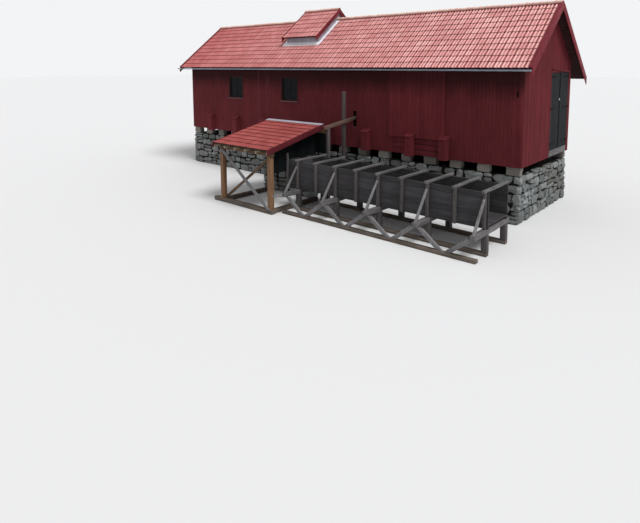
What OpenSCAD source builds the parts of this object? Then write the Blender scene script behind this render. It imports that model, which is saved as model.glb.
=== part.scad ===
// Timber watermill: a long boarded mill house on drystone walls, with a tiled
// roof and a roof hood, a wheel shelter in front of it, and a timber flume.
// Millimetres, +X along the house to the right, +Y to the back, +Z up.

/* [Mill house] */
// Length of the house over its gable walls
house_len = 21320; // [18000:100:24000]
// Depth of the house over its long walls
house_w = 5700; // [5200:50:6400]
// Thickness of a boarded wall
wall_t = 170; // [140:5:220]
// Thickness of the outer boards, which hang over the sill beams
board_t = 30; // [20:1:40]
// Height of the foot of the wall boards above the lowest ground
foot_z = 2250; // [2100:10:2500]
// Height of a sill beam
sill_h = 220; // [180:5:260]
// Width of a sill beam
sill_w = 200; // [190:5:260]
// Thickness of the floor boards
floor_t = 50; // [40:1:70]
// Distance from one floor joist to the next
joist_pitch = 1180; // [900:10:1500]

/* [Stone work] */
// Thickness of the drystone walls under the house
stone_t = 600; // [500:10:700]
// How far the drystone walls stand out from the boards
stone_out = 50; // [20:5:90]
// Height of the squared blocks that carry the sill beams
block_h = 350; // [250:10:450]
// Length of a squared block along the wall
block_len = 620; // [450:10:800]
// Distance from one block to the next
block_pitch = 1200; // [1000:10:1500]
// How far a block reaches past the sill beam on the inside
block_back = 120; // [80:5:160]

/* [Main roof] */
// Height of the tile surface at the ridge
ridge_z = 8700; // [8500:10:8900]
// Roof pitch in degrees
pitch = 38.9; // [36:0.1:40]
// Roof overhang past the front wall
eave_front = 450; // [350:10:600]
// Roof overhang past the back wall
eave_back = 1050; // [900:10:1200]
// Roof overhang past the left gable
verge_left = 700; // [500:10:900]
// Roof overhang past the right gable
verge_right = 400; // [300:10:600]
// Thickness of the roof boards and battens
deck_t = 45; // [35:1:60]
// Height of the tile surface above the battens
tile_t = 65; // [55:1:80]
// How far one tile course shows below the next
tile_gauge = 385; // [340:5:420]
// How much each course rises to its lower edge
tile_lift = 28; // [20:1:36]
// How far the tiles reach past the roof boards at the eaves
tile_nose = 40; // [30:1:60]
// Radius of a ridge tile
ridge_r = 130; // [110:1:150]
// Thickness of a bargeboard
barge_t = 30; // [22:1:40]
// Depth of a bargeboard below the roof boards
barge_drop = 120; // [90:5:160]
// Height of a bargeboard above the tile surface
barge_rise = 25; // [15:1:40]
// Width of the flat board over a verge
verge_cap_w = 150; // [110:5:180]
// Thickness of the flat board over a verge
verge_cap_t = 22; // [18:1:30]

/* [Roof timbers] */
// Depth of a rafter
rafter_d = 150; // [120:5:180]
// Width of a rafter
rafter_w = 75; // [60:1:100]
// Distance from one pair of rafters to the next
rafter_pitch = 1320; // [1100:10:1600]
// Thickness of the ridge board
ridge_board_t = 50; // [40:1:70]
// Depth of a tie beam
tie_d = 180; // [150:5:220]
// Width of a tie beam
tie_w = 120; // [100:5:160]

/* [Gutter] */
// Outer radius of the half-round gutter
gutter_r = 64; // [55:1:75]
// Thickness of the gutter's sheet
gutter_sheet = 5; // [4:1:7]
// Height of the gutter's rim below the tile edge
gutter_below = 50; // [40:1:70]
// How far the gutter runs past the left verge
gutter_past = 150; // [80:10:250]
// Distance from one gutter bracket to the next
bracket_pitch = 1000; // [800:10:1300]
// Width of a bracket's strap
bracket_w = 30; // [20:1:40]

/* [Roof hood] */
// Left end of the hood, from the middle of the house
hood_x = -3310; // [-4000:10:-2500]
// Length of the hood's roof
hood_len = 2560; // [2300:10:3000]
// Height of the hood's roof above the main roof
hood_rise = 550; // [500:5:600]
// Reach of the hood's roof from the ridge, measured level
hood_run = 1950; // [1800:10:2100]
// Reach of the hood's walls from the ridge, measured level
hood_wall_run = 1620; // [1500:10:1700]
// Thickness of the hood's walls
hood_wall_t = 60; // [45:1:80]
// Overhang of the hood's roof past its end walls
hood_verge = 80; // [60:5:120]
// Width of the flashing round the hood's foot
hood_flash_w = 190; // [150:5:240]
// Thickness of the flashing above the tiles
hood_flash_t = 6; // [4:1:10]

/* [Windows] */
// Width of a window opening
win_w = 1150; // [1000:10:1250]
// Height of a window opening
win_h = 1200; // [1000:10:1300]
// Height of the window openings above the lowest ground
win_z = 4300; // [4100:10:4450]
// Middle of the left window, from the middle of the house
win_1 = -6290; // [-7000:10:-5600]
// Middle of the right window, from the middle of the house
win_2 = -1830; // [-2300:10:-1400]
// Width of a frame member in the opening
win_frame = 55; // [40:1:75]
// Width of the casing boards on the wall face
casing_w = 90; // [70:1:120]
// Thickness of the casing boards
casing_t = 22; // [16:1:30]
// Depth of a frame in the opening
frame_d = 70; // [50:1:90]
// Thickness of a window's sill board
sill_board_t = 35; // [25:1:45]
// How far a window's sill board stands out past the casing
sill_out = 60; // [40:1:80]
// Thickness of a window pane
pane_t = 8; // [5:1:12]

/* [Wall details] */
// Width of a boxed post at the wall foot
box_w = 340; // [280:5:400]
// How far a boxed post stands out from the wall
box_out = 300; // [220:5:360]
// Height of a boxed post's front, above the wall foot
box_h = 830; // [700:10:900]
// Thickness of a boxed post's sloped cap
box_cap = 35; // [25:1:50]
// Slope of that cap in degrees
box_slope = 20; // [12:1:25]
// Distance between boxed posts
box_pitch = 2390; // [2200:10:2500]
// First boxed post, from the middle of the house
box_x = -8570; // [-9000:10:-8200]
// Last boxed post, from the middle of the house
box_last = 7450; // [7300:10:7700]
// Left edge of the left cover board, from the middle of the house
cover_x = -4360; // [-4500:10:-4200]
// Width of the left cover board
cover_w = 250; // [200:5:300]
// Distance from the left cover board's edge to the broad one's
cover_pitch = 620; // [560:10:700]
// Width of the broad cover board
broad_cover_w = 440; // [380:5:500]
// Height of the broad cover board's foot above the boxed posts' fronts
cover_up = 170; // [160:5:260]
// Width of a corner board
corner_w = 140; // [110:5:170]
// Height of the slot near the right corner, above the lowest ground
vent_z = 4950; // [4800:10:5100]
// Height of that slot
vent_h = 220; // [160:5:280]
// Width of that slot
vent_w = 60; // [40:1:80]
// Left edge of the boarded hatch panel
hatch_x = 4610; // [4400:10:4800]
// Width of the boarded hatch panel
hatch_w = 2810; // [2600:10:2900]
// How far the hatch panel stands out from the wall
hatch_t = 60; // [40:1:80]
// Height of the hatch panel's lower edge above the wall foot
hatch_up = 750; // [700:10:800]
// Thickness of the boards in the recess under the hatch panel
rail_t = 22; // [16:1:26]
// Number of boards in the recess
recess_boards = 3; // [2:1:4]
// Open joint between the boards in the recess
recess_gap = 30; // [15:1:40]

/* [Doors] */
// Distance of the doorway's far edge from the back wall's face
door_in = 300; // [230:10:380]
// Width of the doorway
door_w = 2320; // [2200:10:2400]
// Height of the doorway's head above the lowest ground
door_top = 5850; // [5600:10:5950]
// Thickness of a door leaf
leaf_t = 60; // [45:1:80]
// Gap round a door leaf
leaf_gap = 8; // [6:1:12]
// Length of a hinge strap
strap_len = 720; // [500:10:900]
// Height of a hinge strap
strap_h = 60; // [45:1:80]
// Thickness of a hinge strap
strap_t = 8; // [6:1:10]
// Height of the lowest strap above the foot of the leaf
strap_low = 260; // [200:10:350]
// Distance of the highest strap from the top of the leaf
strap_high = 200; // [150:10:300]
// Width of the lock case
lock_w = 110; // [80:5:140]
// Height of the lock case
lock_h = 130; // [100:5:170]
// Thickness of the lock case
lock_t = 24; // [15:1:35]
// Height of the drip board over the doorway, at its higher end
drip_up = 150; // [100:5:200]
// Thickness of the drip board
drip_t = 35; // [25:1:45]
// Height of the bracket under a hinge pin
pintle_h = 30; // [24:1:40]
// Thickness of the bracket's plate on the wall
pintle_t = 12; // [8:1:15]
// Radius of a hinge pin
pin_r = 8; // [7:1:9]

/* [Sluice lever] */
// Radius of the round pole
pole_r = 100; // [85:1:120]
// Place of the pole along the house
pole_x = 2440; // [2400:10:2500]
// Distance of the pole's middle from the front wall
pole_out = 640; // [560:10:720]
// Height of the pole
pole_h = 4950; // [4600:10:5200]
// Width of the lever
lever_w = 120; // [100:5:130]
// Depth of the lever
lever_d = 140; // [110:5:150]
// Slope of the lever at rest in degrees, falling away from the house
lever_slope = 8; // [6:0.5:9]
// Height of the lever's pivot
lever_z = 3580; // [3550:10:3640]
// Length of the lever from its pivot to its inner end
lever_in = 760; // [740:5:780]
// Length of the lever from its pivot to its outer end
lever_arm = 1560; // [1500:10:1650]
// Radius of the pivot bolt
bolt_r = 14; // [10:1:18]
// Thickness of the bolt's head
bolt_head = 18; // [12:1:25]
// Radial play of a pin or bolt in its hole
pin_play = 0.08; // [0.04:0.01:0.1]
// Height of the slot in the wall
slot_h = 760; // [700:10:820]
// Width of the slot in the wall
slot_w = 200; // [180:5:240]
// Share of the slot's height below the resting lever
slot_share = 0.57; // [0.5:0.01:0.65]

/* [Wheel shelter] */
// Distance from the shelter's roof to the lever
shelter_gap = 182; // [150:2:220]
// Length of the shelter's roof
shelter_len = 3610; // [3400:10:3650]
// Distance of the roof's front edge from the house
shelter_front = 5400; // [5300:10:5600]
// Distance of the roof's back edge from the house
shelter_back = 2000; // [1950:10:2050]
// Height of the tile surface at the back edge
shelter_z = 3510; // [3450:10:3560]
// Pitch of the shelter's roof in degrees
shelter_pitch = 12.8; // [11:0.1:14]
// Side of a front post
post_w = 200; // [160:5:230]
// Side of a rear post
rear_post_w = 130; // [110:5:150]
// Width of the sheet over the roof's upper edge
flashing_w = 220; // [170:5:280]
// Thickness of that sheet
flashing_t = 5; // [4:1:8]
// Side of the plate beams
plate_d = 150; // [120:5:180]
// How far the front posts stand inside the roof's edges
post_in = 140; // [110:5:180]
// How far the plate beams end inside the roof's edges
plate_in = 60; // [40:5:100]
// Distance of the front posts' middle from the house
front_post_out = 5000; // [4900:10:5100]
// Number of rafters
shelter_rafters_n = 6; // [5:1:8]
// Width of a shelter rafter
srafter_w = 80; // [60:1:100]
// Depth of a shelter rafter
srafter_d = 110; // [90:5:130]
// Thickness of the shelter's bargeboards
sbarge_t = 25; // [20:1:35]
// Thickness of the sill logs
log_d = 180; // [150:5:220]
// How far the front sill log runs past the left post
log_past = 500; // [400:10:600]
// Width of the front brace, along its foot
brace_w = 260; // [220:10:300]
// Thickness of the front brace
brace_t = 30; // [22:1:40]
// Width of the rear brace, along its foot
rear_brace_w = 200; // [160:10:240]
// Thickness of the rear brace
rear_brace_t = 50; // [40:1:60]
// Thickness of the black side panel
panel_t = 25; // [18:1:35]
// How far the panel hangs below the flume's top, beside the flume
panel_low = 490; // [400:10:600]
// Thickness of the drystone wall behind the wheel pit
pit_wall_t = 500; // [400:10:600]
// Height of the drystone wall behind the wheel pit
pit_wall_h = 1900; // [1700:10:2000]
// How far that wall reaches past the shelter on the left
pit_wall_past = 350; // [250:10:450]

/* [Flume] */
// Distance of the flume's near wall from the house
flume_near = 3800; // [3750:10:3850]
// Distance of the flume's far wall from the house
flume_far = 2200; // [2200:10:2250]
// Height of the flume's floor boards
flume_floor_z = 1050; // [1000:10:1100]
// Height of the flume's walls above its floor boards
flume_wall_h = 1050; // [950:10:1100]
// Thickness of the flume's boards
plank_t = 50; // [40:1:60]
// Left end of the flume, from the middle of the house
flume_x = 1900; // [1860:10:1900]
// First post of the flume, from the middle of the house
flume_post_x = 2550; // [2540:10:2600]
// Distance from one flume post to the next
flume_pitch = 1050; // [950:10:1060]
// Number of bays between trestles
flume_bays = 4; // [3:1:4]
// Side of a flume post
flume_post = 100; // [80:5:120]
// Height of the tall post at the flume's end above the walls
tall_post_up = 310; // [200:10:400]
// Depth of a cross tie
tie_up = 90; // [70:5:110]
// How far a cross tie sticks out past the posts
tie_out = 100; // [80:5:100]
// Height of a stringer under the flume
stringer_h = 150; // [120:5:180]
// Side of a trestle beam
trestle_d = 180; // [150:5:200]
// How far a trestle beam reaches out past the near posts
outrigger = 800; // [700:10:850]
// Side of a trestle post
trestle_post = 200; // [160:5:220]
// Side of a diagonal prop
prop_w = 80; // [60:1:100]
// Width of a slanting strut, along its foot
strut_w = 250; // [200:10:280]
// Width of the link between the shelter and the first outrigger
link_w = 90; // [70:5:110]
// Height of that link
link_h = 70; // [50:5:90]
// Height of the base sills
base_sill_h = 120; // [90:5:150]

/* [Hidden] */
$fn = 48;

red = "#5a2428";
tile_red = "#b8625c";
shelter_red = "#a12f30";
stone_grey = "#8f8d86";
old_wood = "#57534f";
new_wood = "#96693f";
sheet_grey = "#7c8792";
pale_sheet = "#c9cbd2";
iron = "#26272a";
charcoal = "#303034";

// Hairline left where two like pieces of one node would otherwise fuse
seam = 0.3;
// Hairline between two pieces that lie on each other at a slope
slope_fit = 0.1;
// Clearance between the lever and the post it rests on
lever_seat = 0.3;
// Clearance between the lever and the side of its pole
lever_play = 2;

half_len = house_len / 2;
ridge_y = house_w / 2;
sill_top = foot_z + sill_h;
floor_top = sill_top + floor_t;
found_top = foot_z - block_h;

// Points of a slope: level distance and height from the ridge of the roof's underside
function plane_z(off, n, a) = n / cos(a) - off * tan(a);
function slope_pt(s, n, a) = [s * cos(a) + n * sin(a), n * cos(a) - s * sin(a)];
tile_hi = deck_t + tile_t + tile_lift / 2;
tile_lo = deck_t + tile_t - tile_lift / 2;

// Outline of a tiled slope that reaches run from its ridge, with stepped courses
function tiled_slope(run, a) =
    let (s_edge = (run - tile_hi * sin(a)) / cos(a),
         s_top = -tile_lo * tan(a),
         n = max(1, round((s_edge - s_top) / tile_gauge)),
         g = (s_edge - s_top) / n)
    concat([[0, 0], slope_pt(s_edge - tile_nose, 0, a),
            slope_pt(s_edge - tile_nose, deck_t, a), slope_pt(s_edge, deck_t, a)],
           [for (i = [0:n - 1], k = [0, 1])
               k == 0 ? slope_pt(s_edge - i * g, tile_hi, a)
                      : slope_pt(s_edge - (i + 1) * g, tile_lo, a)]);

apex_u = ridge_z - (deck_t + tile_t) / cos(pitch);
run_front = house_w / 2 + eave_front;
run_back = house_w / 2 + eave_back;
roof_x0 = -half_len - verge_left;
roof_x1 = half_len + verge_right;
function roof_under(y) = apex_u - abs(y - ridge_y) * tan(pitch);

hood_apex_u = apex_u + hood_rise;
hood_x1 = hood_x + hood_len;

// The shelter's roof falls to the front from its back edge
shelter_apex_u = shelter_z - (deck_t + tile_t) / cos(shelter_pitch);
shelter_run = shelter_front - shelter_back;
shelter_x1 = pole_x + pole_r + lever_play - shelter_gap;
shelter_x = shelter_x1 - shelter_len;
function srafter_under(out) =
    shelter_apex_u - srafter_d / cos(shelter_pitch)
    - (out - shelter_back) * tan(shelter_pitch);

flume_top = flume_floor_z + flume_wall_h;
flume_posts_n = 2 * flume_bays + 1;
flume_x1 = flume_post_x + (flume_posts_n - 1) * flume_pitch + flume_post;
trestle_top = flume_floor_z - stringer_h;
trestle_z = trestle_top - trestle_d;
flume_near_post = flume_near + flume_post;
flume_far_post = flume_far - flume_post;

// The lever runs beside the pole and through the slot in the wall
lever_x = pole_x + pole_r + lever_play;
lever_mid_x = lever_x + lever_w / 2;
slot_x = lever_mid_x - slot_w / 2;
slot_z = lever_z + pole_out * tan(lever_slope) - slot_h * slot_share;
rear_post_x = lever_mid_x - rear_post_w / 2;
rear_post_out = flume_far_post - tie_out;
function lever_under(out) =
    lever_z + (pole_out - out) * tan(lever_slope) - lever_d / 2 / cos(lever_slope);

// Where the roof boards end over the front wall
deck_end_y = ridge_y - (run_front - tile_hi * sin(pitch)) + tile_nose * cos(pitch);
gutter_y = -eave_front - gutter_r * 0.4;
gutter_z = roof_under(-eave_front) + (deck_t + tile_t) / cos(pitch) - gutter_below;
gutter_x0 = roof_x0 - gutter_past;
gutter_x1 = roof_x1 - gutter_sheet;

door_x = half_len;
door_end = house_w - door_in;
door_y = door_end - door_w;
leaf_w = (door_w - 3 * leaf_gap) / 2;
leaf_z = floor_top + leaf_gap;
leaf_h = door_top - leaf_gap - leaf_z;
knuckle_r = pin_r + 7;
axis_x = door_x + knuckle_r + 1;
strap_zs = [leaf_z + strap_low, leaf_z + leaf_h * 0.53, leaf_z + leaf_h - strap_high];
lock_z = leaf_z + leaf_h * 0.63;

hatch_x1 = hatch_x + hatch_w;
hatch_z = foot_z + hatch_up;
recess_x0 = hatch_x + 190;
recess_x1 = box_last - box_w / 2 - box_cap / 2;

// The middle of everything, so that the part's origin is under the middle of its box
x_min = min(gutter_x0, roof_x0 - barge_t);
x_max = max(roof_x1 + barge_t, flume_x1);
y_min = -max(shelter_front, flume_near_post + outrigger);
y_max = house_w + eave_back;
mid_x = (x_min + x_max) / 2;
mid_y = (y_min + y_max) / 2;
module placed() translate([-mid_x, -mid_y, 0]) children();

// A solid with its outline in the YZ plane, from x along +X
module along_x(x, len) translate([x, 0, 0]) rotate([90, 0, 90]) linear_extrude(len) children();
// A solid with its outline in the XZ plane, from y along +Y
module along_y(y, len) translate([0, y + len, 0]) rotate([90, 0, 0]) linear_extrude(len) children();
// A box between two corners
module box(a, b) translate(a) cube(b - a);
// Both slopes of the main roof as one outline
module main_slope(side)
    translate([ridge_y, apex_u]) mirror([side < 0 ? 1 : 0, 0])
        polygon(tiled_slope(side < 0 ? run_front : run_back, pitch));
module hood_slope(side)
    translate([ridge_y, hood_apex_u]) mirror([side < 0 ? 1 : 0, 0])
        polygon(tiled_slope(hood_run, pitch));
// A sloping band of the main roof's pitch between two reaches and two normal offsets
module band(side, z0, r0, r1, n0, n1)
    translate([ridge_y, z0]) mirror([side < 0 ? 1 : 0, 0])
        polygon([[r0, plane_z(r0, n0, pitch)], [r1, plane_z(r1, n0, pitch)],
                 [r1, plane_z(r1, n1, pitch)], [r0, plane_z(r0, n1, pitch)]]);
// A straight timber in the XZ plane, cut level at both ends
module slant_x(xa, za, xb, zb, w)
    polygon([[xa - w / 2, za], [xa + w / 2, za], [xb + w / 2, zb], [xb - w / 2, zb]]);

// Stone work

module foundation_sides() color(stone_grey) placed() {
    box([-half_len, -stone_out, 0], [half_len, stone_t - stone_out, found_top]);
    box([-half_len, house_w - stone_t + stone_out, 0], [half_len, house_w + stone_out, found_top]);
}

module foundation_ends() color(stone_grey) placed() {
    y0 = stone_t - stone_out;
    y1 = house_w - y0;
    box([-half_len, y0, 0], [-half_len + stone_t, y1, found_top]);
    box([half_len - stone_t, y0, 0], [half_len, y1, found_top]);
}

module pier_blocks() color(stone_grey) placed() {
    n = floor((house_len - block_len) / block_pitch);
    step = (house_len - block_len - 2 * board_t) / n;
    depth = board_t + sill_w + block_back;
    for (i = [0:n], y = [board_t, house_w - depth])
        box([-half_len + board_t + i * step, y, found_top],
            [-half_len + board_t + i * step + block_len, y + depth - board_t, foot_z]);
}

// Wall behind the wheel pit, and its return to the wall under the house
module wheel_pit_wall() color(stone_grey) placed() {
    x0 = shelter_x - pit_wall_past;
    box([x0, -flume_far, 0], [flume_x - plank_t, -flume_far + pit_wall_t, pit_wall_h]);
    box([x0, -flume_far + pit_wall_t + seam, 0], [x0 + pit_wall_t, -stone_out, found_top]);
}

// Sills and floor

module sill_beams() color(old_wood) placed() {
    box([-half_len + board_t, board_t, foot_z],
        [half_len - board_t, board_t + sill_w, sill_top]);
    box([-half_len + board_t, house_w - board_t - sill_w, foot_z],
        [half_len - board_t, house_w - board_t, sill_top]);
}

module floor() color(old_wood) placed() {
    y0 = board_t + sill_w;
    n = floor((house_len - 2 * board_t - sill_w) / joist_pitch);
    step = (house_len - 2 * board_t - sill_w) / n;
    box([-half_len + wall_t, wall_t, sill_top],
        [half_len - wall_t, house_w - wall_t, floor_top]);
    for (i = [0:n])
        box([-half_len + board_t + i * step, y0, foot_z + board_t],
            [-half_len + board_t + i * step + sill_w, house_w - y0, sill_top]);
}

// Walls

// Section of a long wall: boards over the sill beam, frame above it
module long_wall_section()
    polygon([[0, foot_z], [board_t, foot_z], [board_t, sill_top], [wall_t, sill_top],
             [wall_t, roof_under(wall_t)], [0, roof_under(0)]]);

module window_hole(x, y)
    translate([x - win_w / 2, y - 1, win_z]) cube([win_w, wall_t + 2, win_h]);

module front_wall_left() color(red) placed() difference() {
    along_x(-half_len, slot_x + half_len) long_wall_section();
    for (x = [win_1, win_2]) window_hole(x, 0);
}

module front_wall_right() color(red) placed() difference() {
    along_x(slot_x + slot_w, half_len - slot_x - slot_w) long_wall_section();
    box([recess_x0, -1, foot_z - 1], [recess_x1, board_t, hatch_z]);
    box([half_len - 1.5 * corner_w - vent_w, -1, vent_z],
        [half_len - 1.5 * corner_w, wall_t + 1, vent_z + vent_h]);
}

module front_wall_slot_boards() color(red) placed() {
    difference() {
        along_x(slot_x, slot_w) long_wall_section();
        box([slot_x - 1, -1, slot_z], [slot_x + slot_w + 1, wall_t + 1, slot_z + slot_h]);
    }
}

module back_wall() color(red) placed() difference() {
    translate([0, house_w, 0]) mirror([0, 1, 0])
        along_x(-half_len, house_len) long_wall_section();
    for (x = [win_1, win_2]) window_hole(x, house_w - wall_t);
}

// Gable wall between two distances from the front, from z0 up to the roof
module gable_outline(ya, yb, z0)
    polygon(concat([[ya, z0], [yb, z0], [yb, roof_under(yb)]],
                   ya < ridge_y && yb > ridge_y ? [[ridge_y, apex_u]] : [],
                   [[ya, roof_under(ya)]]));

// The gable's frame stands on the end joist, and its boards hang over it
module gable(side, ya, yb) {
    x = side < 0 ? -half_len : half_len - wall_t;
    xb = side < 0 ? -half_len : half_len - board_t;
    along_x(x, wall_t) gable_outline(ya, yb, sill_top);
    box([xb, ya, foot_z], [xb + board_t, yb, sill_top]);
}

module left_gable() color(red) placed() gable(-1, wall_t, house_w - wall_t);

module right_gable_sides() color(red) placed() {
    gable(1, wall_t, door_y);
    gable(1, door_end, house_w - wall_t);
}

module right_gable_top() color(red) placed()
    along_x(half_len - wall_t, wall_t) gable_outline(door_y, door_end, door_top);

module door_threshold() color(old_wood) placed()
    along_y(door_y, door_w)
        polygon([[half_len - board_t, foot_z], [half_len, foot_z], [half_len, floor_top],
                 [half_len - wall_t, floor_top], [half_len - wall_t, sill_top],
                 [half_len - board_t, sill_top]]);

// Roof timbers

rafters_n = floor((house_len - 2 * wall_t - rafter_w) / rafter_pitch);
rafter_step = (house_len - 2 * wall_t - rafter_w) / rafters_n;

module rafters() color(old_wood) placed()
    for (i = [0:rafters_n], side = [-1, 1])
        along_x(-half_len + wall_t + i * rafter_step, rafter_w)
            band(side, apex_u, ridge_board_t / 2, ridge_y - wall_t, -rafter_d, 0);

module ridge_board() color(old_wood) placed()
    along_x(-half_len + wall_t, house_len - 2 * wall_t)
        translate([ridge_y, apex_u])
            polygon([[-ridge_board_t / 2, -rafter_d * 1.5], [ridge_board_t / 2, -rafter_d * 1.5],
                     [ridge_board_t / 2, -ridge_board_t / 2 * tan(pitch)], [0, 0],
                     [-ridge_board_t / 2, -ridge_board_t / 2 * tan(pitch)]]);

module tie_beams() color(old_wood) placed() {
    top = roof_under(wall_t) - rafter_d / cos(pitch);
    for (i = [1:rafters_n - 1])
        if (i % 2 == 0)
            box([-half_len + wall_t + i * rafter_step + rafter_w / 2 - tie_w / 2, wall_t, top - tie_d],
                [-half_len + wall_t + i * rafter_step + rafter_w / 2 + tie_w / 2,
                 house_w - wall_t, top]);
}

// Main roof

module roof_front() color(tile_red) placed()
    along_x(roof_x0, roof_x1 - roof_x0) main_slope(-1);

module roof_back() color(tile_red) placed()
    along_x(roof_x0, roof_x1 - roof_x0) main_slope(1);

// Ridge tiles: round on top, bedded on the two slopes given as children
module ridge_section(z0)
    difference() {
        translate([ridge_y, z0 - ridge_r * 0.25]) circle(r = ridge_r);
        children();
        // what the circle leaves under the roof boards
        translate([ridge_y - ridge_r / 3, z0 - 2 * ridge_r]) square([ridge_r / 1.5, ridge_r * 1.6]);
    }

module ridge_cap() color(tile_red) placed() {
    for (x = [[roof_x0, hood_x + hood_verge], [hood_x1 - hood_verge, roof_x1]])
        along_x(x[0], x[1] - x[0])
            ridge_section(ridge_z) { main_slope(-1); main_slope(1); }
    along_x(hood_x, hood_len)
        ridge_section(ridge_z + hood_rise) { hood_slope(-1); hood_slope(1); }
}

module barge(side, z0, run)
    band(side, z0, seam / 2, run, -barge_drop, deck_t + tile_t + barge_rise);

module bargeboards() color(red) placed() {
    for (x = [roof_x0 - barge_t, roof_x1]) {
        along_x(x, barge_t) difference() {
            barge(-1, apex_u, run_front);
            translate([gutter_y, gutter_z]) circle(r = gutter_r + lever_play);
        }
        along_x(x, barge_t) barge(1, apex_u, run_back);
    }
    // flat boards that cover the bargeboards and the edge of the tiles
    low = deck_t + tile_t + barge_rise;
    for (x = [roof_x0 - barge_t, roof_x1 + barge_t - verge_cap_w], side = [-1, 1])
        along_x(x, verge_cap_w) difference() {
            band(side, apex_u, seam / 2, side < 0 ? run_front : run_back, low + slope_fit,
                 low + slope_fit + verge_cap_t);
            translate([ridge_y, ridge_z - ridge_r * 0.25]) circle(r = ridge_r + seam);
        }
    for (x = [hood_x - barge_t, hood_x1], side = [-1, 1])
        along_x(x, barge_t)
            band(side, hood_apex_u, seam / 2, hood_run, -barge_drop / 2,
                 deck_t + tile_t + barge_rise);
    for (x = [shelter_x - sbarge_t, shelter_x1])
        along_x(x, sbarge_t) shelter_band(0, shelter_run, slope_fit - srafter_d,
                                          deck_t + tile_t + barge_rise);
}

// Gutter

module gutter() color(sheet_grey) placed() {
    along_x(gutter_x0, gutter_x1 - gutter_x0) translate([gutter_y, gutter_z]) difference() {
        circle(r = gutter_r);
        circle(r = gutter_r - gutter_sheet);
        translate([-2 * gutter_r, 0]) square([4 * gutter_r, 2 * gutter_r]);
    }
    for (x = [gutter_x0, gutter_x1 - gutter_sheet])
        along_x(x, gutter_sheet) translate([gutter_y, gutter_z]) difference() {
            circle(r = gutter_r - gutter_sheet / 2);
            translate([-2 * gutter_r, 0]) square([4 * gutter_r, 2 * gutter_r]);
        }
}

// Strap under the gutter, and its arm back to the roof boards
module bracket_strap() {
    r0 = gutter_r + 0.3;
    r1 = r0 + gutter_sheet;
    translate([gutter_y, gutter_z]) difference() {
        circle(r = r1);
        circle(r = r0);
        translate([-2 * r1, 0]) square([4 * r1, 2 * r1]);
    }
}
module bracket_arm() {
    y1 = gutter_y + gutter_r + gutter_sheet / 2;
    y2 = deck_end_y + 150;
    under = roof_under(deck_end_y);
    polygon([[y1, gutter_z - 8], [y1, gutter_z - 36], [deck_end_y, under - 16],
             [y2, roof_under(y2) - 12], [y2, roof_under(y2)], [deck_end_y, under]]);
}

module gutter_brackets() color(sheet_grey) placed() {
    n = floor((gutter_x1 - roof_x0) / bracket_pitch);
    for (i = [0:n])
        translate([roof_x0 + 100 + i * (gutter_x1 - roof_x0 - 300) / n, 0, 0]) {
            along_x(0, bracket_w) bracket_strap();
            along_x(bracket_w * 0.2, bracket_w * 0.6) bracket_arm();
        }
}

// Roof hood

module hood_walls() color(pale_sheet) placed() {
    x0 = hood_x + hood_verge;
    x1 = hood_x1 - hood_verge;
    low = deck_t + tile_t - tile_lift;
    high = hood_rise * cos(pitch) - slope_fit;
    for (x = [x0, x1 - hood_wall_t], side = [-1, 1])
        along_x(x, hood_wall_t) difference() {
            band(side, apex_u, seam / 2, hood_wall_run, low, high);
            main_slope(side);
            ridge_gap();
        }
    for (side = [-1, 1])
        along_x(x0 + hood_wall_t + seam, x1 - x0 - 2 * hood_wall_t - 2 * seam) difference() {
            band(side, apex_u, hood_wall_run - hood_wall_t, hood_wall_run, low, high);
            main_slope(side);
        }
}
module ridge_gap() translate([ridge_y - seam / 2, 0]) square([seam, 2 * ridge_z]);

module hood_roof() color(tile_red) placed()
    for (side = [-1, 1])
        along_x(hood_x, hood_len) difference() {
            hood_slope(side);
            ridge_gap();
        }

// Flashing dressed over the tiles round the hood's foot
module hood_flashing() color(pale_sheet) placed() {
    x0 = hood_x + hood_verge;
    x1 = hood_x1 - hood_verge;
    low = deck_t + tile_t - tile_lift;
    high = tile_hi + hood_flash_t;
    reach = hood_wall_run + hood_flash_w;
    for (side = [-1, 1]) {
        for (x = [x0 - hood_flash_w, x1])
            along_x(x, hood_flash_w) difference() {
                band(side, apex_u, ridge_r + 10, reach, low, high);
                main_slope(side);
            }
        along_x(x0 - 1, x1 - x0 + 2) difference() {
            band(side, apex_u, hood_wall_run, reach, low, high);
            main_slope(side);
        }
    }
}

module window_ring(t) difference() {
    translate([-win_w / 2, win_z]) square([win_w, win_h]);
    translate([-win_w / 2 + t, win_z + t]) square([win_w - 2 * t, win_h - 2 * t]);
}

// Windows: a frame in each opening, casing boards and a sill on the wall face
module window_frame() {
    w = win_w / 2;
    along_y(board_t, frame_d) window_ring(win_frame);
    along_y(0, board_t) window_ring(win_frame / 4);
    along_y(-casing_t, casing_t) difference() {
        translate([-w - casing_w, win_z - casing_t])
            square([win_w + 2 * casing_w, win_h + casing_w + casing_t]);
        translate([-w, win_z]) square([win_w, win_h]);
    }
    along_x(-w - casing_w, win_w + 2 * casing_w)
        polygon([[0, win_z - casing_t], [0, win_z - casing_t - sill_board_t],
                 [-casing_t - sill_out, win_z - casing_t - 1.4 * sill_board_t],
                 [-casing_t - sill_out, win_z - casing_t - 0.6 * sill_board_t],
                 [-casing_t, win_z - casing_t]]);
}

module each_window() {
    for (x = [win_1, win_2]) translate([x, 0, 0]) children();
    translate([0, house_w, 0]) mirror([0, 1, 0])
        for (x = [win_1, win_2]) translate([x, 0, 0]) children();
}

module window_frames() color(red) placed() each_window() window_frame();

module window_panes() color("#14181b") placed() each_window()
    translate([-win_w / 2 + win_frame, board_t + frame_d / 2, win_z + win_frame])
        cube([win_w - 2 * win_frame, pane_t, win_h - 2 * win_frame]);

// Details on the front wall

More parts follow.
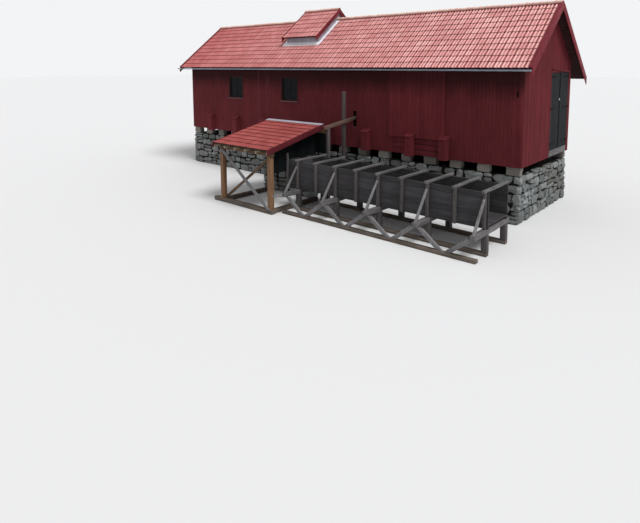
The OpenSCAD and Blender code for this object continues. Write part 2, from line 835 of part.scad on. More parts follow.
// Boxed post with a sloped cap. The back steps out where it covers the hatch panel
module foot_box(x, back) {
    top = foot_z + box_h;
    rise = box_out * tan(box_slope);
    along_x(x - box_w / 2, box_w)
        polygon([[0, foot_z - box_cap], [-box_out, foot_z - box_cap], [-box_out, top],
                 [-back, top + rise * (box_out - back) / box_out], [-back, hatch_z], [0, hatch_z]]);
    along_x(x - box_w / 2 - box_cap, box_w + 2 * box_cap)
        polygon([[-box_out - box_cap, top - box_cap * tan(box_slope)],
                 [-back, top + rise * (box_out - back) / box_out],
                 [-back, top + rise * (box_out - back) / box_out + box_cap],
                 [-box_out - box_cap, top + box_cap - box_cap * tan(box_slope)]]);
}

box_free = [for (i = [0:5]) box_x + i * box_pitch];
module wall_foot_boxes() color(red) placed() {
    for (x = box_free)
        if (x + box_w / 2 < hatch_x) foot_box(x, 0);
    for (x = [box_x + 6 * box_pitch, box_last]) foot_box(x, hatch_t);
}

module hatch_panel() color(red) placed() {
    top = roof_under(-hatch_t) - 20;
    box([hatch_x, -hatch_t, hatch_z], [hatch_x1, 0, top]);
}

module hatch_rails() color(red) placed() {
    h = (hatch_z - foot_z - recess_boards * recess_gap) / recess_boards;
    for (i = [0:recess_boards - 1])
        box([recess_x0, board_t - rail_t, foot_z + i * (h + recess_gap)],
            [recess_x1, board_t, foot_z + i * (h + recess_gap) + h]);
}

// Upright cover boards, corner boards and the drip board over the doors
module wall_trim() color(red) placed() {
    top = roof_under(-casing_t) - 20;
    box([cover_x, -casing_t, foot_z], [cover_x + cover_w, 0, top]);
    box([cover_x + cover_pitch, -casing_t, foot_z + box_h + cover_up],
        [cover_x + cover_pitch + broad_cover_w, 0, top]);
    for (x = [-half_len, half_len - corner_w]) box([x, -casing_t, foot_z], [x + corner_w, 0, top]);
    past = 60;
    along_x(half_len, hatch_t)
        polygon([[door_y - past, door_top + drip_up], [door_end + past, door_top],
                 [door_end + past, door_top + drip_t], [door_y - past, door_top + drip_up + drip_t]]);
}

// Doors

module leaf(y) box([door_x - leaf_t, y, leaf_z], [door_x, y + leaf_w, leaf_z + leaf_h]);

module door_near_leaf() color(charcoal) placed() leaf(door_y + leaf_gap);
module door_far_leaf() color(charcoal) placed() leaf(door_end - leaf_gap - leaf_w);

// Hinge strap on the leaf's face with its knuckle round the pin
module strap(z, axis_y, dir) difference() {
    union() {
        translate([axis_x, axis_y, z]) cylinder(r = knuckle_r, h = strap_h);
        box([door_x, min(axis_y, axis_y + dir * strap_len), z],
            [door_x + strap_t, max(axis_y, axis_y + dir * strap_len), z + strap_h]);
    }
    translate([axis_x, axis_y, z - 1]) cylinder(r = pin_r + pin_play, h = strap_h + 2);
}

module door_near_straps() color(iron) placed() {
    for (z = strap_zs) strap(z, door_y, 1);
    lock_y = door_y + leaf_gap + leaf_w - lock_w * 1.4;
    box([door_x, lock_y, lock_z], [door_x + lock_t, lock_y + lock_w, lock_z + lock_h]);
}

module door_far_straps() color(iron) placed()
    for (z = strap_zs) strap(z, door_end, -1);

// Pin and its bracket on the wall, under each knuckle
module pintle(z, axis_y, dir) {
    translate([axis_x, axis_y, z - pintle_h]) {
        cylinder(r = pin_r, h = pintle_h + strap_h + pin_r);
        cylinder(r = knuckle_r - 1, h = pintle_h - 0.5);
    }
    box([door_x, min(axis_y - dir * 3 * pintle_h, axis_y - dir * pin_r / 2), z - pintle_h],
        [door_x + pintle_t, max(axis_y - dir * 3 * pintle_h, axis_y - dir * pin_r / 2), z - 0.5]);
}

module door_pintles() color(iron) placed() {
    for (z = strap_zs) {
        pintle(z, door_y, 1);
        pintle(z, door_end, -1);
    }
}

// Sluice lever on its pole

module sluice_pole() color(old_wood) placed() difference() {
    translate([pole_x, -pole_out, 0]) union() {
        cylinder(r = pole_r, h = pole_h - pole_r / 2);
        translate([0, 0, pole_h - pole_r / 2]) cylinder(r1 = pole_r, r2 = pole_r / 2, h = pole_r / 2);
    }
    translate([pole_x - pole_r - 1, -pole_out, lever_z]) rotate([0, 90, 0])
        cylinder(r = bolt_r + pin_play, h = 2 * pole_r + 2);
}

module sluice_lever() color(old_wood) placed() translate([lever_x, -pole_out, lever_z]) {
    rotate([lever_slope, 0, 0])
        translate([0, -lever_arm, -lever_d / 2]) cube([lever_w, lever_arm + lever_in, lever_d]);
    bolt_x = -2 * pole_r - 2 * lever_play - bolt_head;
    translate([bolt_x, 0, 0]) rotate([0, 90, 0]) {
        cylinder(r = bolt_r, h = 1 - bolt_x);
        cylinder(r = bolt_r * 2, h = bolt_head);
    }
}

// Wheel shelter

// Band parallel to the shelter's roof between two reaches from its back edge
module shelter_band(r0, r1, n0, n1)
    translate([-shelter_back, shelter_apex_u]) mirror([1, 0])
        polygon([[r0, plane_z(r0, n0, shelter_pitch)], [r1, plane_z(r1, n0, shelter_pitch)],
                 [r1, plane_z(r1, n1, shelter_pitch)], [r0, plane_z(r0, n1, shelter_pitch)]]);

// Section of a plate beam with its top cut to the slope of the rafters
module plate_section(out)
    polygon([[-out - plate_d / 2, plate_under(out)], [-out + plate_d / 2, plate_under(out)],
             [-out + plate_d / 2, srafter_under(out - plate_d / 2)],
             [-out - plate_d / 2, srafter_under(out + plate_d / 2)]]);

front_post_xs = [shelter_x + post_in, shelter_x1 - post_in - post_w];
function plate_under(out) = srafter_under(out + plate_d / 2) - plate_d;
back_plate_out = shelter_back + 15;

module shelter_posts() color(new_wood) placed() {
    for (x = front_post_xs)
        box([x, -front_post_out - post_w / 2, log_d],
            [x + post_w, -front_post_out + post_w / 2, plate_under(front_post_out)]);
    for (x = [shelter_x + 1.3 * post_in, flume_x - plank_t - 2 * post_in])
        box([x, -back_plate_out - rear_post_w / 2, pit_wall_h],
            [x + rear_post_w, -back_plate_out + rear_post_w / 2, plate_under(back_plate_out)]);
    along_x(rear_post_x, rear_post_w)
        polygon([[-rear_post_out, 0], [-rear_post_out + rear_post_w, 0],
                 [-rear_post_out + rear_post_w,
                  lever_under(rear_post_out - rear_post_w) - lever_seat],
                 [-rear_post_out, lever_under(rear_post_out) - lever_seat]]);
}

module shelter_beams() color(new_wood) placed() {
    along_x(shelter_x + plate_in, shelter_len - 2 * plate_in) plate_section(front_post_out);
    along_x(shelter_x + plate_in, rear_post_x - shelter_x - plate_in)
        plate_section(back_plate_out);
}

module shelter_rafters() color("#b3a391") placed() {
    first = srafter_w / 2;
    step = (shelter_len - 2 * first - srafter_w) / (shelter_rafters_n - 1);
    for (i = [0:shelter_rafters_n - 1])
        along_x(shelter_x + first + i * step, srafter_w)
            shelter_band(0, shelter_run - 1.5 * tile_nose, slope_fit - srafter_d, -slope_fit);
}

module shelter_roof() color(shelter_red) placed()
    along_x(shelter_x, shelter_len)
        translate([-shelter_back, shelter_apex_u]) mirror([1, 0])
            polygon(tiled_slope(shelter_run, shelter_pitch));

// Sheet over the upper edge of the shelter's tiles, folded down at the back
module shelter_flashing() color(pale_sheet) placed() {
    low = deck_t + tile_t + barge_rise;
    along_x(shelter_x - sbarge_t, shelter_len + 2 * sbarge_t) {
        shelter_band(0, flashing_w, low, low + flashing_t);
        translate([-shelter_back, shelter_apex_u - barge_drop / 2])
            square([flashing_t, barge_drop / 2 + (low + flashing_t) / cos(shelter_pitch)]);
    }
}

module shelter_braces() color(new_wood) placed() {
    x0 = front_post_xs[0];
    x1 = front_post_xs[1] + post_w;
    z0 = log_d;
    z1 = plate_under(front_post_out);
    along_y(-front_post_out - post_w / 2 - brace_t, brace_t)
        slant_x(x0 + brace_w / 2, z1, x1 - brace_w / 2, z0, brace_w);
    along_y(-front_post_out + post_w / 2, rear_brace_t)
        slant_x(x1 - rear_brace_w / 2, z1, x0 + rear_brace_w / 2, z0, rear_brace_w);
}

// Sill logs under the shelter and the base sills under the trestles
module sill_logs() color(old_wood) placed() {
    x0 = front_post_xs[0];
    x1 = front_post_xs[1];
    box([x0 - log_past, -front_post_out - post_w / 2, 0],
        [x1 + post_w + plate_in, -front_post_out + post_w / 2, log_d]);
    for (x = [x0, x1])
        box([x, -front_post_out + post_w / 2 + seam, 0], [x + post_w, -flume_far, log_d]);
    for (out = trestle_rows)
        box([flume_post_x - 0.7 * trestle_post, -out - trestle_post / 2, 0],
            [flume_x1, -out + trestle_post / 2, base_sill_h]);
}

// Black boards against the flume's end, open where the water leaves it, and a return to
// the rear right post
module side_panel() color("#101313") placed() {
    x = flume_x - panel_t - seam;
    front = front_post_out - post_w / 2 - rear_brace_t - seam;
    along_x(x, panel_t) difference() {
        polygon([[-front, flume_top], [-shelter_back, flume_top],
                 [-shelter_back, srafter_under(shelter_back)], [-front, srafter_under(front)]]);
        offset(delta = seam) plate_section(back_plate_out);
    }
    box([x, -front, flume_top - panel_low], [x + panel_t, -flume_near, flume_top - seam]);
    box([flume_x, -back_plate_out - panel_t / 2, flume_top + tie_up + seam],
        [rear_post_x - seam, -back_plate_out + panel_t / 2,
         plate_under(back_plate_out) - seam]);
}

// Flume

trestle_rows = [flume_near_post + outrigger - 0.75 * trestle_post, flume_near - plank_t / 2,
                flume_far + plank_t / 2];

module flume_floor() color(old_wood) placed()
    box([flume_x, -flume_near + plank_t, flume_floor_z],
        [flume_x1, -flume_far - plank_t, flume_floor_z + plank_t]);

module flume_walls() color(old_wood) placed()
    for (y = [-flume_near, -flume_far - plank_t])
        box([flume_x, y, flume_floor_z], [flume_x1, y + plank_t, flume_top]);

module flume_posts() color(old_wood) placed() {
    for (i = [0:flume_posts_n - 1], y = [-flume_near_post, -flume_far])
        box([flume_post_x + i * flume_pitch - flume_post / 2, y, trestle_top],
            [flume_post_x + i * flume_pitch + flume_post / 2, y + flume_post, flume_top]);
    box([flume_x, -flume_near_post, flume_floor_z],
        [flume_x + flume_post * 0.8, -flume_near, flume_top + tall_post_up]);
}

module flume_ties() color(old_wood) placed()
    for (i = [0:flume_posts_n - 1])
        box([flume_post_x + i * flume_pitch - flume_post / 2, -flume_near_post - tie_out, flume_top],
            [flume_post_x + i * flume_pitch + flume_post / 2, -flume_far_post + tie_out,
             flume_top + tie_up]);

module flume_stringers() color(old_wood) placed()
    for (y = [-flume_near, -flume_far - 2 * plank_t])
        box([flume_x, y, trestle_top], [flume_x1, y + 2 * plank_t, flume_floor_z]);

trestle_xs = [for (i = [0:flume_bays]) flume_post_x + 2 * i * flume_pitch];

module trestle_beams() color(old_wood) placed()
    for (x = trestle_xs)
        box([x - trestle_d / 2, -flume_near_post - outrigger, trestle_z],
            [x + trestle_d / 2, -flume_far_post + tie_out, trestle_top]);

module trestle_posts() color(old_wood) placed()
    for (x = trestle_xs, out = [trestle_rows[1], trestle_rows[2]])
        box([x - trestle_post / 2, -out - trestle_post / 2, base_sill_h],
            [x + trestle_post / 2, -out + trestle_post / 2, trestle_z]);

// Props from the outriggers to the posts, and slanting struts between the trestles
module flume_braces() color(old_wood) placed() {
    for (x = trestle_xs)
        along_x(x - prop_w / 2, prop_w)
            polygon([[-flume_near_post - outrigger + prop_w / 2, trestle_top],
                     [-flume_near_post - outrigger + prop_w * 2, trestle_top],
                     [-flume_near_post, flume_top - 2 * tie_up - prop_w],
                     [-flume_near_post, flume_top - 2 * tie_up]]);
    for (i = [0:flume_bays - 1], side = [-1, 1])
        along_y(-trestle_rows[0] - prop_w / 2, prop_w) {
            mid = (trestle_xs[i] + trestle_xs[i + 1]) / 2;
            foot = mid + side * (strut_w / 2 + seam);
            head = mid + side * (flume_pitch - strut_w / 2 - seam);
            slant_x(foot, base_sill_h, head, trestle_z, strut_w);
        }
    // link from the shelter's right post to the first outrigger
    x0 = front_post_xs[1] + post_w + seam;
    x1 = flume_post_x - trestle_d / 2 - seam;
    out = flume_near_post + outrigger;
    translate([0, 0, trestle_z]) linear_extrude(link_h)
        polygon([[x0, -front_post_out], [x1, -out], [x1, -out + link_w],
                 [x0, -front_post_out + link_w]]);
}

foundation_sides();
foundation_ends();
pier_blocks();
sill_beams();
floor();
front_wall_left();
front_wall_right();
front_wall_slot_boards();
back_wall();
left_gable();
right_gable_sides();
right_gable_top();
door_threshold();
rafters();
tie_beams();
ridge_board();
roof_front();
roof_back();
ridge_cap();
bargeboards();
gutter();
gutter_brackets();
hood_walls();
hood_roof();
hood_flashing();
window_frames();
window_panes();
wall_foot_boxes();
wall_trim();
hatch_panel();
hatch_rails();
door_near_leaf();
door_far_leaf();
door_near_straps();
door_far_straps();
door_pintles();
sluice_pole();
sluice_lever();
shelter_posts();
shelter_beams();
shelter_rafters();
shelter_roof();
shelter_flashing();
shelter_braces();
sill_logs();
side_panel();
wheel_pit_wall();
flume_floor();
flume_walls();
flume_posts();
flume_ties();
flume_stringers();
trestle_beams();
trestle_posts();
flume_braces();
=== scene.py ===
# %% [markdown]
# # A timber watermill, dressed piece by piece
# The solids come from CAD and stay where they are. What is made below is a finish for one of
# them, or a finer piece laid over it.

# %% Load the frame
import bpy
import random
from math import cos, floor, pi, radians, sin, tan
from mathutils import Matrix, Vector, noise


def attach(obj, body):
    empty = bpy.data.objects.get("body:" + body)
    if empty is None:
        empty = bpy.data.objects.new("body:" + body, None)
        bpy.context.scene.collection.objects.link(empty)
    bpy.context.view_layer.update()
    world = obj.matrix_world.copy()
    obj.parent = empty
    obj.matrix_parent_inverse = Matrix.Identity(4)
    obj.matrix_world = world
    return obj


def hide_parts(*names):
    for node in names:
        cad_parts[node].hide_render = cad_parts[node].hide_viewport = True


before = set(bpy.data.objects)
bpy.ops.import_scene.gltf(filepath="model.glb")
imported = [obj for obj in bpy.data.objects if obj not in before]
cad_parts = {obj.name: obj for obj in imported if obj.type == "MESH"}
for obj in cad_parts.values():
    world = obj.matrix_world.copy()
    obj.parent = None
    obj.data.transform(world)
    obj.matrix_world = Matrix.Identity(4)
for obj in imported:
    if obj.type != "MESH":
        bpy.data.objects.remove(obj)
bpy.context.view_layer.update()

SEED = 7
rng = random.Random(SEED)
noise.seed_set(SEED)

# %% [markdown]
# ## The camera
# The photograph was taken from the front right, level with the eaves, with a wide lens. A
# quaternion points the camera's -Z axis along the line of sight, tilted a little down, and a
# shift of the lens does the rest of the framing.

# %% Camera
EYE = Vector((17.835, -19.652, 6.112))
TURN = radians(40.0)
HEADING = Vector((-sin(TURN), cos(TURN), 0))
TILT = radians(6.1)
bpy.ops.object.camera_add(location=EYE)
camera = bpy.context.object
camera.data.lens = 28.63
camera.data.sensor_width = 36
camera.data.shift_x = -0.032
camera.data.shift_y = -0.22
sight = HEADING * cos(TILT) - Vector((0, 0, sin(TILT)))
camera.rotation_mode = "QUATERNION"
camera.rotation_quaternion = sight.to_track_quat("-Z", "Y")
bpy.context.scene.camera = camera

# %% [markdown]
# ## Measures that many pieces share
# Lengths are in metres. The house has its own axes: x from its middle along the walls, y from the
# face of its front wall, z from the lowest ground. `spot` turns such a place into the frame's
# coordinates. Matrices place, turn and stretch the copies of a model.

# %% Shared measures
HALF = 10.66
DEPTH = 5.7
FOOT = 2.25
WALL_H = 1.9
RIDGE_Y = DEPTH / 2
APEX = 8.5586
PITCH = radians(38.9)
DECK = 0.045
TILE_LOW, TILE_HIGH = 0.096, 0.124
ROOF_ENDS = (-HALF - 0.7, HALF + 0.4)
WINDOWS = [(-6.865, -5.715), (-2.405, -1.255)]
WINDOW_Z = (4.3, 5.5)
DOORWAY, DOOR_HEAD = (3.08, 5.4), 5.85


def spot(x, y, z):
    return Vector((x + 0.21, y - 0.675, z))


def moved(x, y, z):
    return Matrix.Translation(spot(x, y, z))


def turned(degrees, axis):
    return Matrix.Rotation(radians(degrees), 4, axis)


def sized(x, y, z):
    return Matrix.Diagonal((x, y, z, 1))


# %% [markdown]
# ## Small helpers for modelling
# An operator works on whatever is selected, so each helper first deselects everything. Transforms
# and modifiers are applied at once, so that a shape lies in its mesh.

# %% Modelling helpers
def enter(mode):
    if bpy.context.mode[:4] != mode[:4]:
        bpy.ops.object.mode_set(mode=mode)


def clear_selection():
    enter("OBJECT")
    bpy.ops.object.select_all(action="DESELECT")


def choose(*objs):
    clear_selection()
    for obj in objs:
        obj.select_set(True)
    bpy.context.view_layer.objects.active = objs[0]


def add_shape(operator, name, scale=(1, 1, 1), **settings):
    clear_selection()
    operator(**settings)
    shape = bpy.context.object
    shape.name = name
    shape.scale = scale
    bpy.ops.object.transform_apply(location=True, rotation=True, scale=True)
    return shape


def add_block(name, lo, hi):
    lo, hi = Vector(lo), Vector(hi)
    return add_shape(bpy.ops.mesh.primitive_cube_add, name, hi - lo, size=1,
                     location=(lo + hi) / 2)


def modify(obj, kind, **settings):
    choose(obj)
    modifier = obj.modifiers.new(kind.title(), kind)
    for key, value in settings.items():
        setattr(modifier, key, value)
    bpy.ops.object.modifier_apply(modifier=modifier.name)


def edit(obj, pick=None):
    """Enters edit mode with the faces chosen by pick(face) selected, or with all of them."""
    choose(obj)
    for kind in (obj.data.vertices, obj.data.edges):
        kind.foreach_set("select", [False] * len(kind))
    for face in obj.data.polygons:
        face.select = bool(pick and pick(face))
    enter("EDIT")
    bpy.ops.mesh.select_mode(type="FACE")
    if pick is None:
        bpy.ops.mesh.select_all(action="SELECT")


def done(obj, smooth=None):
    enter("OBJECT")
    if smooth:
        choose(obj)
        bpy.ops.object.shade_smooth_by_angle(angle=radians(smooth))
    return obj


def reshape(obj, operator, pick=None, **settings):
    edit(obj, pick)
    operator(**settings)
    return done(obj)


def saw(obj, place, normal, off=True):
    """Cuts with a plane, and takes off what lies on the side its normal points to."""
    reshape(obj, bpy.ops.mesh.bisect, plane_co=place, plane_no=normal, clear_outer=off,
            use_fill=off)


def roughen(obj, scale, most, shift=0.0):
    """Noise moves every point."""
    for v in obj.data.vertices:
        v.co += noise.noise_vector(v.co * scale + Vector((shift, 0, 0))) * most


def join(parts):
    choose(*parts)
    bpy.ops.object.join()
    return parts[0]


def drop(*models):
    for model in models:
        bpy.data.objects.remove(model)


# %% [markdown]
# ## Many copies of a few models
# Tiles, boards and stones are modelled once, laid many times and joined into one mesh. Each copy
# gets a random number, `tone`, by which its colour varies. Tiles also have `crest`, which is low
# where their finish paints shade, as in the troughs.

# %% Laying copies
LOOKS = {}


def coat(data, look):
    data.materials.clear()
    data.materials.append(LOOKS[look])


def dress(obj, look, body="mill", stands_for=""):
    """Gives a piece its finish and body, and hides the solids that it stands for."""
    coat(obj.data, look)
    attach(obj, body)
    if stands_for:
        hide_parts(*stands_for.split())
    print(obj.name, sum(len(face.vertices) - 2 for face in obj.data.polygons), "triangles")
    return obj


def lay_copies(name, models, places, look, body="mill", stands_for="", smooth=None,
               crest=None):
    """Joins copies of models: places holds (which model, matrix) pairs. crest(point) gives a point
    of the model a value from 0 to 1, and the finish paints shade where it is low."""
    points, faces, tones, crests = [], [], [], []
    for which, place in places:
        source = models[which].data
        first = len(points)
        points += [place @ v.co for v in source.vertices]
        faces += [[first + i for i in f.vertices] for f in source.polygons]
        tones += [rng.random()] * len(source.polygons)
        if crest:
            crests += [crest(v.co) for v in source.vertices]
    mesh = bpy.data.meshes.new(name)
    mesh.from_pydata(points, [], faces)
    mesh.attributes.new("tone", "FLOAT", "FACE").data.foreach_set("value", tones)
    if crest:
        mesh.attributes.new("crest", "FLOAT", "POINT").data.foreach_set("value", crests)
    laid = bpy.data.objects.new(name, mesh)
    bpy.context.scene.collection.objects.link(laid)
    print(len(places), "copies:", end=" ")
    return dress(done(laid, smooth), look, body, stands_for)


# %% [markdown]
# ## A kit for procedural finishes
# Paint, wood, stone and tile vary at several scales: broad stains, a grain or speckle, and a tone
# for each board or stone. One function builds that network. Its pattern is read from Object
# coordinates in metres, so a grain of 3 mm stays 3 mm on every piece.

# %% Finish kit
# Painted shade below the eaves: its colour, and the heights over which it darkens towards the eaves.
EAVES_SHADE = (0.008, 0.0035, 0.0035)
EAVES_SHADE_Z = (5.0, 5.75)


def add(tree, kind, inputs=None, **settings):
    made = tree.nodes.new("ShaderNode" + kind)
    for key, value in settings.items():
        setattr(made, key, value)
    for key, value in (inputs or {}).items():
        if isinstance(value, bpy.types.NodeSocket):
            tree.links.new(value, made.inputs[key])
        else:
            made.inputs[key].default_value = value
    return made


def mixed(tree, share, first, second, blend="MIX"):
    first, second = ((*c, 1) if isinstance(c, tuple) else c for c in (first, second))
    return add(tree, "Mix", {0: share, 6: first, 7: second}, data_type="RGBA",
               blend_type=blend).outputs[2]


def ranged(tree, value, low, high, to_low=0.0, to_high=1.0):
    return add(tree, "MapRange", {0: value, 1: low, 2: high, 3: to_low, 4: to_high}).outputs[0]


def scaled_noise(tree, coords, stretch, scale, detail=4.0, rough=0.55):
    mapping = add(tree, "Mapping", {"Vector": coords, "Scale": stretch})
    return add(tree, "TexNoise", {"Vector": mapping.outputs[0], "Scale": scale,
                                  "Detail": detail, "Roughness": rough}).outputs[0]


def attribute(tree, name):
    return add(tree, "Attribute", attribute_name=name).outputs["Fac"]


def split_axes(tree, vector):
    return add(tree, "SeparateXYZ", {0: vector}).outputs


def calc(tree, operation, first, second):
    return add(tree, "Math", {0: first, 1: second}, operation=operation).outputs[0]


def facing_out(tree, coords, middle):
    """1 on faces that look away from a point, 0 on those that look towards it."""
    away = add(tree, "VectorMath", {0: coords, 1: middle}, operation="SUBTRACT")
    normal = add(tree, "NewGeometry").outputs["Normal"]
    along = add(tree, "VectorMath", {0: away.outputs[0], 1: normal}, operation="DOT_PRODUCT")
    return ranged(tree, along.outputs["Value"], 0.0, 0.02)


def painted_eaves_shade(tree, coords):
    """Painted shade: 1 just below the eaves on the long walls, 0 on the rest of the building."""
    place = split_axes(tree, coords)
    ragged = calc(tree, "MULTIPLY", scaled_noise(tree, coords, (1, 1, 0.15), 2.5), 0.5)
    height = calc(tree, "ADD", place["Z"], ragged)
    out = calc(tree, "ABSOLUTE", calc(tree, "SUBTRACT", place["Y"], spot(0, RIDGE_Y, 0).y), 0.0)
    high = ranged(tree, height, *EAVES_SHADE_Z)
    return calc(tree, "MULTIPLY", high, ranged(tree, out, DEPTH / 2 - 0.03, DEPTH / 2 - 0.005))


def finish(name, dark, light, grain, scale, stain=None, stain_share=0.5, tone=0.0,
           rough=(0.7, 0.9), bump=0.3, depth=0.002, speck=None, moss=None, metal=0.0,
           shine=0.25, trough_shade=None, outside=None, eaves=0.0, below=None, fade=None):
    """A weathered finish. grain stretches its pattern: a small number runs along that axis."""
    LOOKS[name] = bpy.data.materials.new(name)
    LOOKS[name].use_nodes = True
    tree = LOOKS[name].node_tree
    shader = tree.nodes["Principled BSDF"]
    coords = add(tree, "TexCoord").outputs["Object"]
    fine = scaled_noise(tree, coords, grain, scale, 6.0, 0.62)
    colour = mixed(tree, ranged(tree, fine, 0.3, 0.7), dark, light)
    colour = mixed(tree, tone, colour, mixed(tree, attribute(tree, "tone"), dark, light))
    if stain:
        broad = scaled_noise(tree, coords, (1, 1, 0.45), 1.3, 5.0, 0.6)
        share = ranged(tree, broad, 0.42, 0.68, 0.0, stain_share)
        colour = mixed(tree, share, colour, stain)
    if speck:
        dots = scaled_noise(tree, coords, (1, 1, 1), 60.0, 3.0, 0.7)
        colour = mixed(tree, ranged(tree, dots, 0.56, 0.66, 0.0, 0.6), colour, speck)
    if moss:
        green, level, share = moss
        up = split_axes(tree, add(tree, "NewGeometry").outputs["Normal"])["Z"]
        patch = scaled_noise(tree, coords, (1, 1, 1), 2.6, 7.0, 0.7)
        place = calc(tree, "ADD", patch, calc(tree, "MULTIPLY", up, 0.16))
        colour = mixed(tree, ranged(tree, place, level, level + 0.14, 0.0, share), colour, green)
    # Painted shade: the points whose crest is low take the trough colour.
    if trough_shade:
        share = ranged(tree, attribute(tree, "crest"), 0.0, 1.0, 1.0, 0.0)
        colour = mixed(tree, share, colour, trough_shade)
    # Painted shade: the colour darkens along X, from bright_x to deep_x; on the roof tiles towards
    # the left end.
    if fade:
        bright_x, deep_x, paint = fade
        share = ranged(tree, split_axes(tree, coords)["X"], bright_x, deep_x)
        colour = mixed(tree, share, colour, paint, "MULTIPLY")
    if outside:
        middle, paint = outside
        colour = mixed(tree, facing_out(tree, coords, middle), colour, paint)
    # Painted shade below the eaves; eaves sets how dark it gets.
    if eaves:
        share = calc(tree, "MULTIPLY", painted_eaves_shade(tree, coords), eaves)
        colour = mixed(tree, share, colour, EAVES_SHADE)
    if below:
        level, paint = below
        share = ranged(tree, split_axes(tree, coords)["Z"], level, level - 0.004)
        colour = mixed(tree, share, colour, paint)
    tree.links.new(colour, shader.inputs["Base Color"])
    tree.links.new(ranged(tree, fine, 0.3, 0.7, rough[1], rough[0]), shader.inputs["Roughness"])
    shader.inputs["Metallic"].default_value = metal
    shader.inputs["Specular IOR Level"].default_value = shine
    raised = add(tree, "Bump", {"Strength": bump, "Distance": depth, "Height": fine})
    tree.links.new(raised.outputs[0], shader.inputs["Normal"])


# %% [markdown]
# ## The finishes of this mill
# The walls have dull red oxide paint. The flume's timbers are bare and silver grey, the shelter's
# newer and golden. The roof tiles are a pale matt red with some moss, and those of the shelter a
# deeper red.

# %% Paint
UPRIGHT, ALONG_X, ALONG_Y = (1, 1, 0.05), (0.05, 1, 1), (1, 0.05, 1)
FALLING, EVEN = (0.6, 0.1, 0.1), (1, 1, 1)
MATT, SATIN, WAXED = (0.75, 0.95), (0.65, 0.85), (0.6, 0.8)
OXIDE = {"rough": (0.78, 0.95), "bump": 0.35, "shine": 0.1}
finish("red_paint", (0.078, 0.0095, 0.0125), (0.14, 0.019, 0.0245), UPRIGHT, 38,
       (0.062, 0.009, 0.011), tone=0.6, **OXIDE)
# eaves= paints shade below the eaves on the long walls.
finish("wall_paint", (0.096, 0.015, 0.019), (0.145, 0.0255, 0.0305), UPRIGHT, 38,
       (0.072, 0.013, 0.015), tone=0.12, eaves=0.72, **OXIDE)
finish("hatch_paint", (0.108, 0.0155, 0.0205), (0.17, 0.029, 0.0345), UPRIGHT, 38,
       (0.08, 0.013, 0.016), tone=0.3, eaves=0.66, **OXIDE)
finish("red_trim", (0.1, 0.0145, 0.0195), (0.175, 0.029, 0.036), UPRIGHT, 34,
       (0.07, 0.0125, 0.016), tone=0.2, shine=0.12, eaves=0.62)
finish("casing_paint", (0.035, 0.009, 0.011), (0.075, 0.018, 0.021), UPRIGHT, 34, tone=0.2,
       shine=0.1, eaves=0.5, below=(WINDOW_Z[0] - 0.023, (0.17, 0.085, 0.09)))
finish("barge_paint", (0.13, 0.0155, 0.022), (0.2, 0.029, 0.038), FALLING, 30,
       (0.11, 0.014, 0.02), tone=0.1, rough=SATIN, shine=0.15)
finish("fascia_paint", (0.07, 0.0095, 0.013), (0.115, 0.0175, 0.023), FALLING, 30,
       (0.06, 0.009, 0.012), tone=0.1, rough=SATIN, shine=0.12)
# This black is tar on the shelter's side boards, and on the doors a painted shadow of the seam.
finish("tar_black_and_seam_shadow", (0.003, 0.004, 0.0045), (0.009, 0.011, 0.0115), UPRIGHT, 30, tone=0.5,
       rough=(0.75, 0.9), shine=0.04)
finish("door_paint", (0.0125, 0.013, 0.0145), (0.031, 0.032, 0.035), UPRIGHT, 40,
       (0.013, 0.013, 0.0145), tone=0.35, rough=(0.75, 0.9), bump=0.35, shine=0.05)
# The sashes and glazing bars are red trim darkened into painted shade.
finish("sash_red_in_painted_shade", (0.012, 0.007, 0.007), (0.035, 0.02, 0.019), UPRIGHT, 36, tone=0.2,
       rough=WAXED, shine=0.1)

# %% Bare wood
MOSS = (0.035, 0.05, 0.012)


def weathered(name, dark, light, grain, stain, tone, green, scale=26, share=0.6):
    """Old open-grained timber, with moss where the noise passes the level called green."""
    finish(name, dark, light, grain, scale, stain, tone=tone, bump=0.6, depth=0.004,
           moss=(MOSS, green, share))


weathered("grey_timber_x", (0.018, 0.0165, 0.018), (0.066, 0.062, 0.066), ALONG_X,
          (0.025, 0.022, 0.023), 0.4, 0.68)
weathered("grey_timber_y", (0.06, 0.056, 0.058), (0.25, 0.24, 0.245), ALONG_Y,
          (0.045, 0.042, 0.042), 0.35, 0.72)
weathered("grey_timber_up", (0.041, 0.036, 0.036), (0.148, 0.134, 0.133), UPRIGHT,
          (0.042, 0.039, 0.039), 0.35, 0.66)
weathered("grey_pole_wood", (0.034, 0.027, 0.025), (0.12, 0.098, 0.092), UPRIGHT,
          (0.04, 0.03, 0.028), 0.35, 0.66)
weathered("grey_prop_wood", (0.1, 0.095, 0.1), (0.34, 0.33, 0.335), UPRIGHT,
          (0.07, 0.066, 0.066), 0.35, 0.68, share=0.5)
weathered("brown_sill_wood", (0.06, 0.046, 0.038), (0.22, 0.175, 0.145), ALONG_X,
          (0.04, 0.034, 0.028), 0.3, 0.66, scale=22)
finish("lever_wood", (0.07, 0.042, 0.034), (0.2, 0.125, 0.1), ALONG_Y, 30,
       (0.06, 0.038, 0.03), tone=0.1, bump=0.5, depth=0.003)
GOLDEN = {"tone": 0.1, "rough": WAXED, "bump": 0.4}
finish("golden_timber_up", (0.12, 0.064, 0.033), (0.26, 0.142, 0.078), UPRIGHT, 24,
       (0.13, 0.068, 0.035), **GOLDEN)
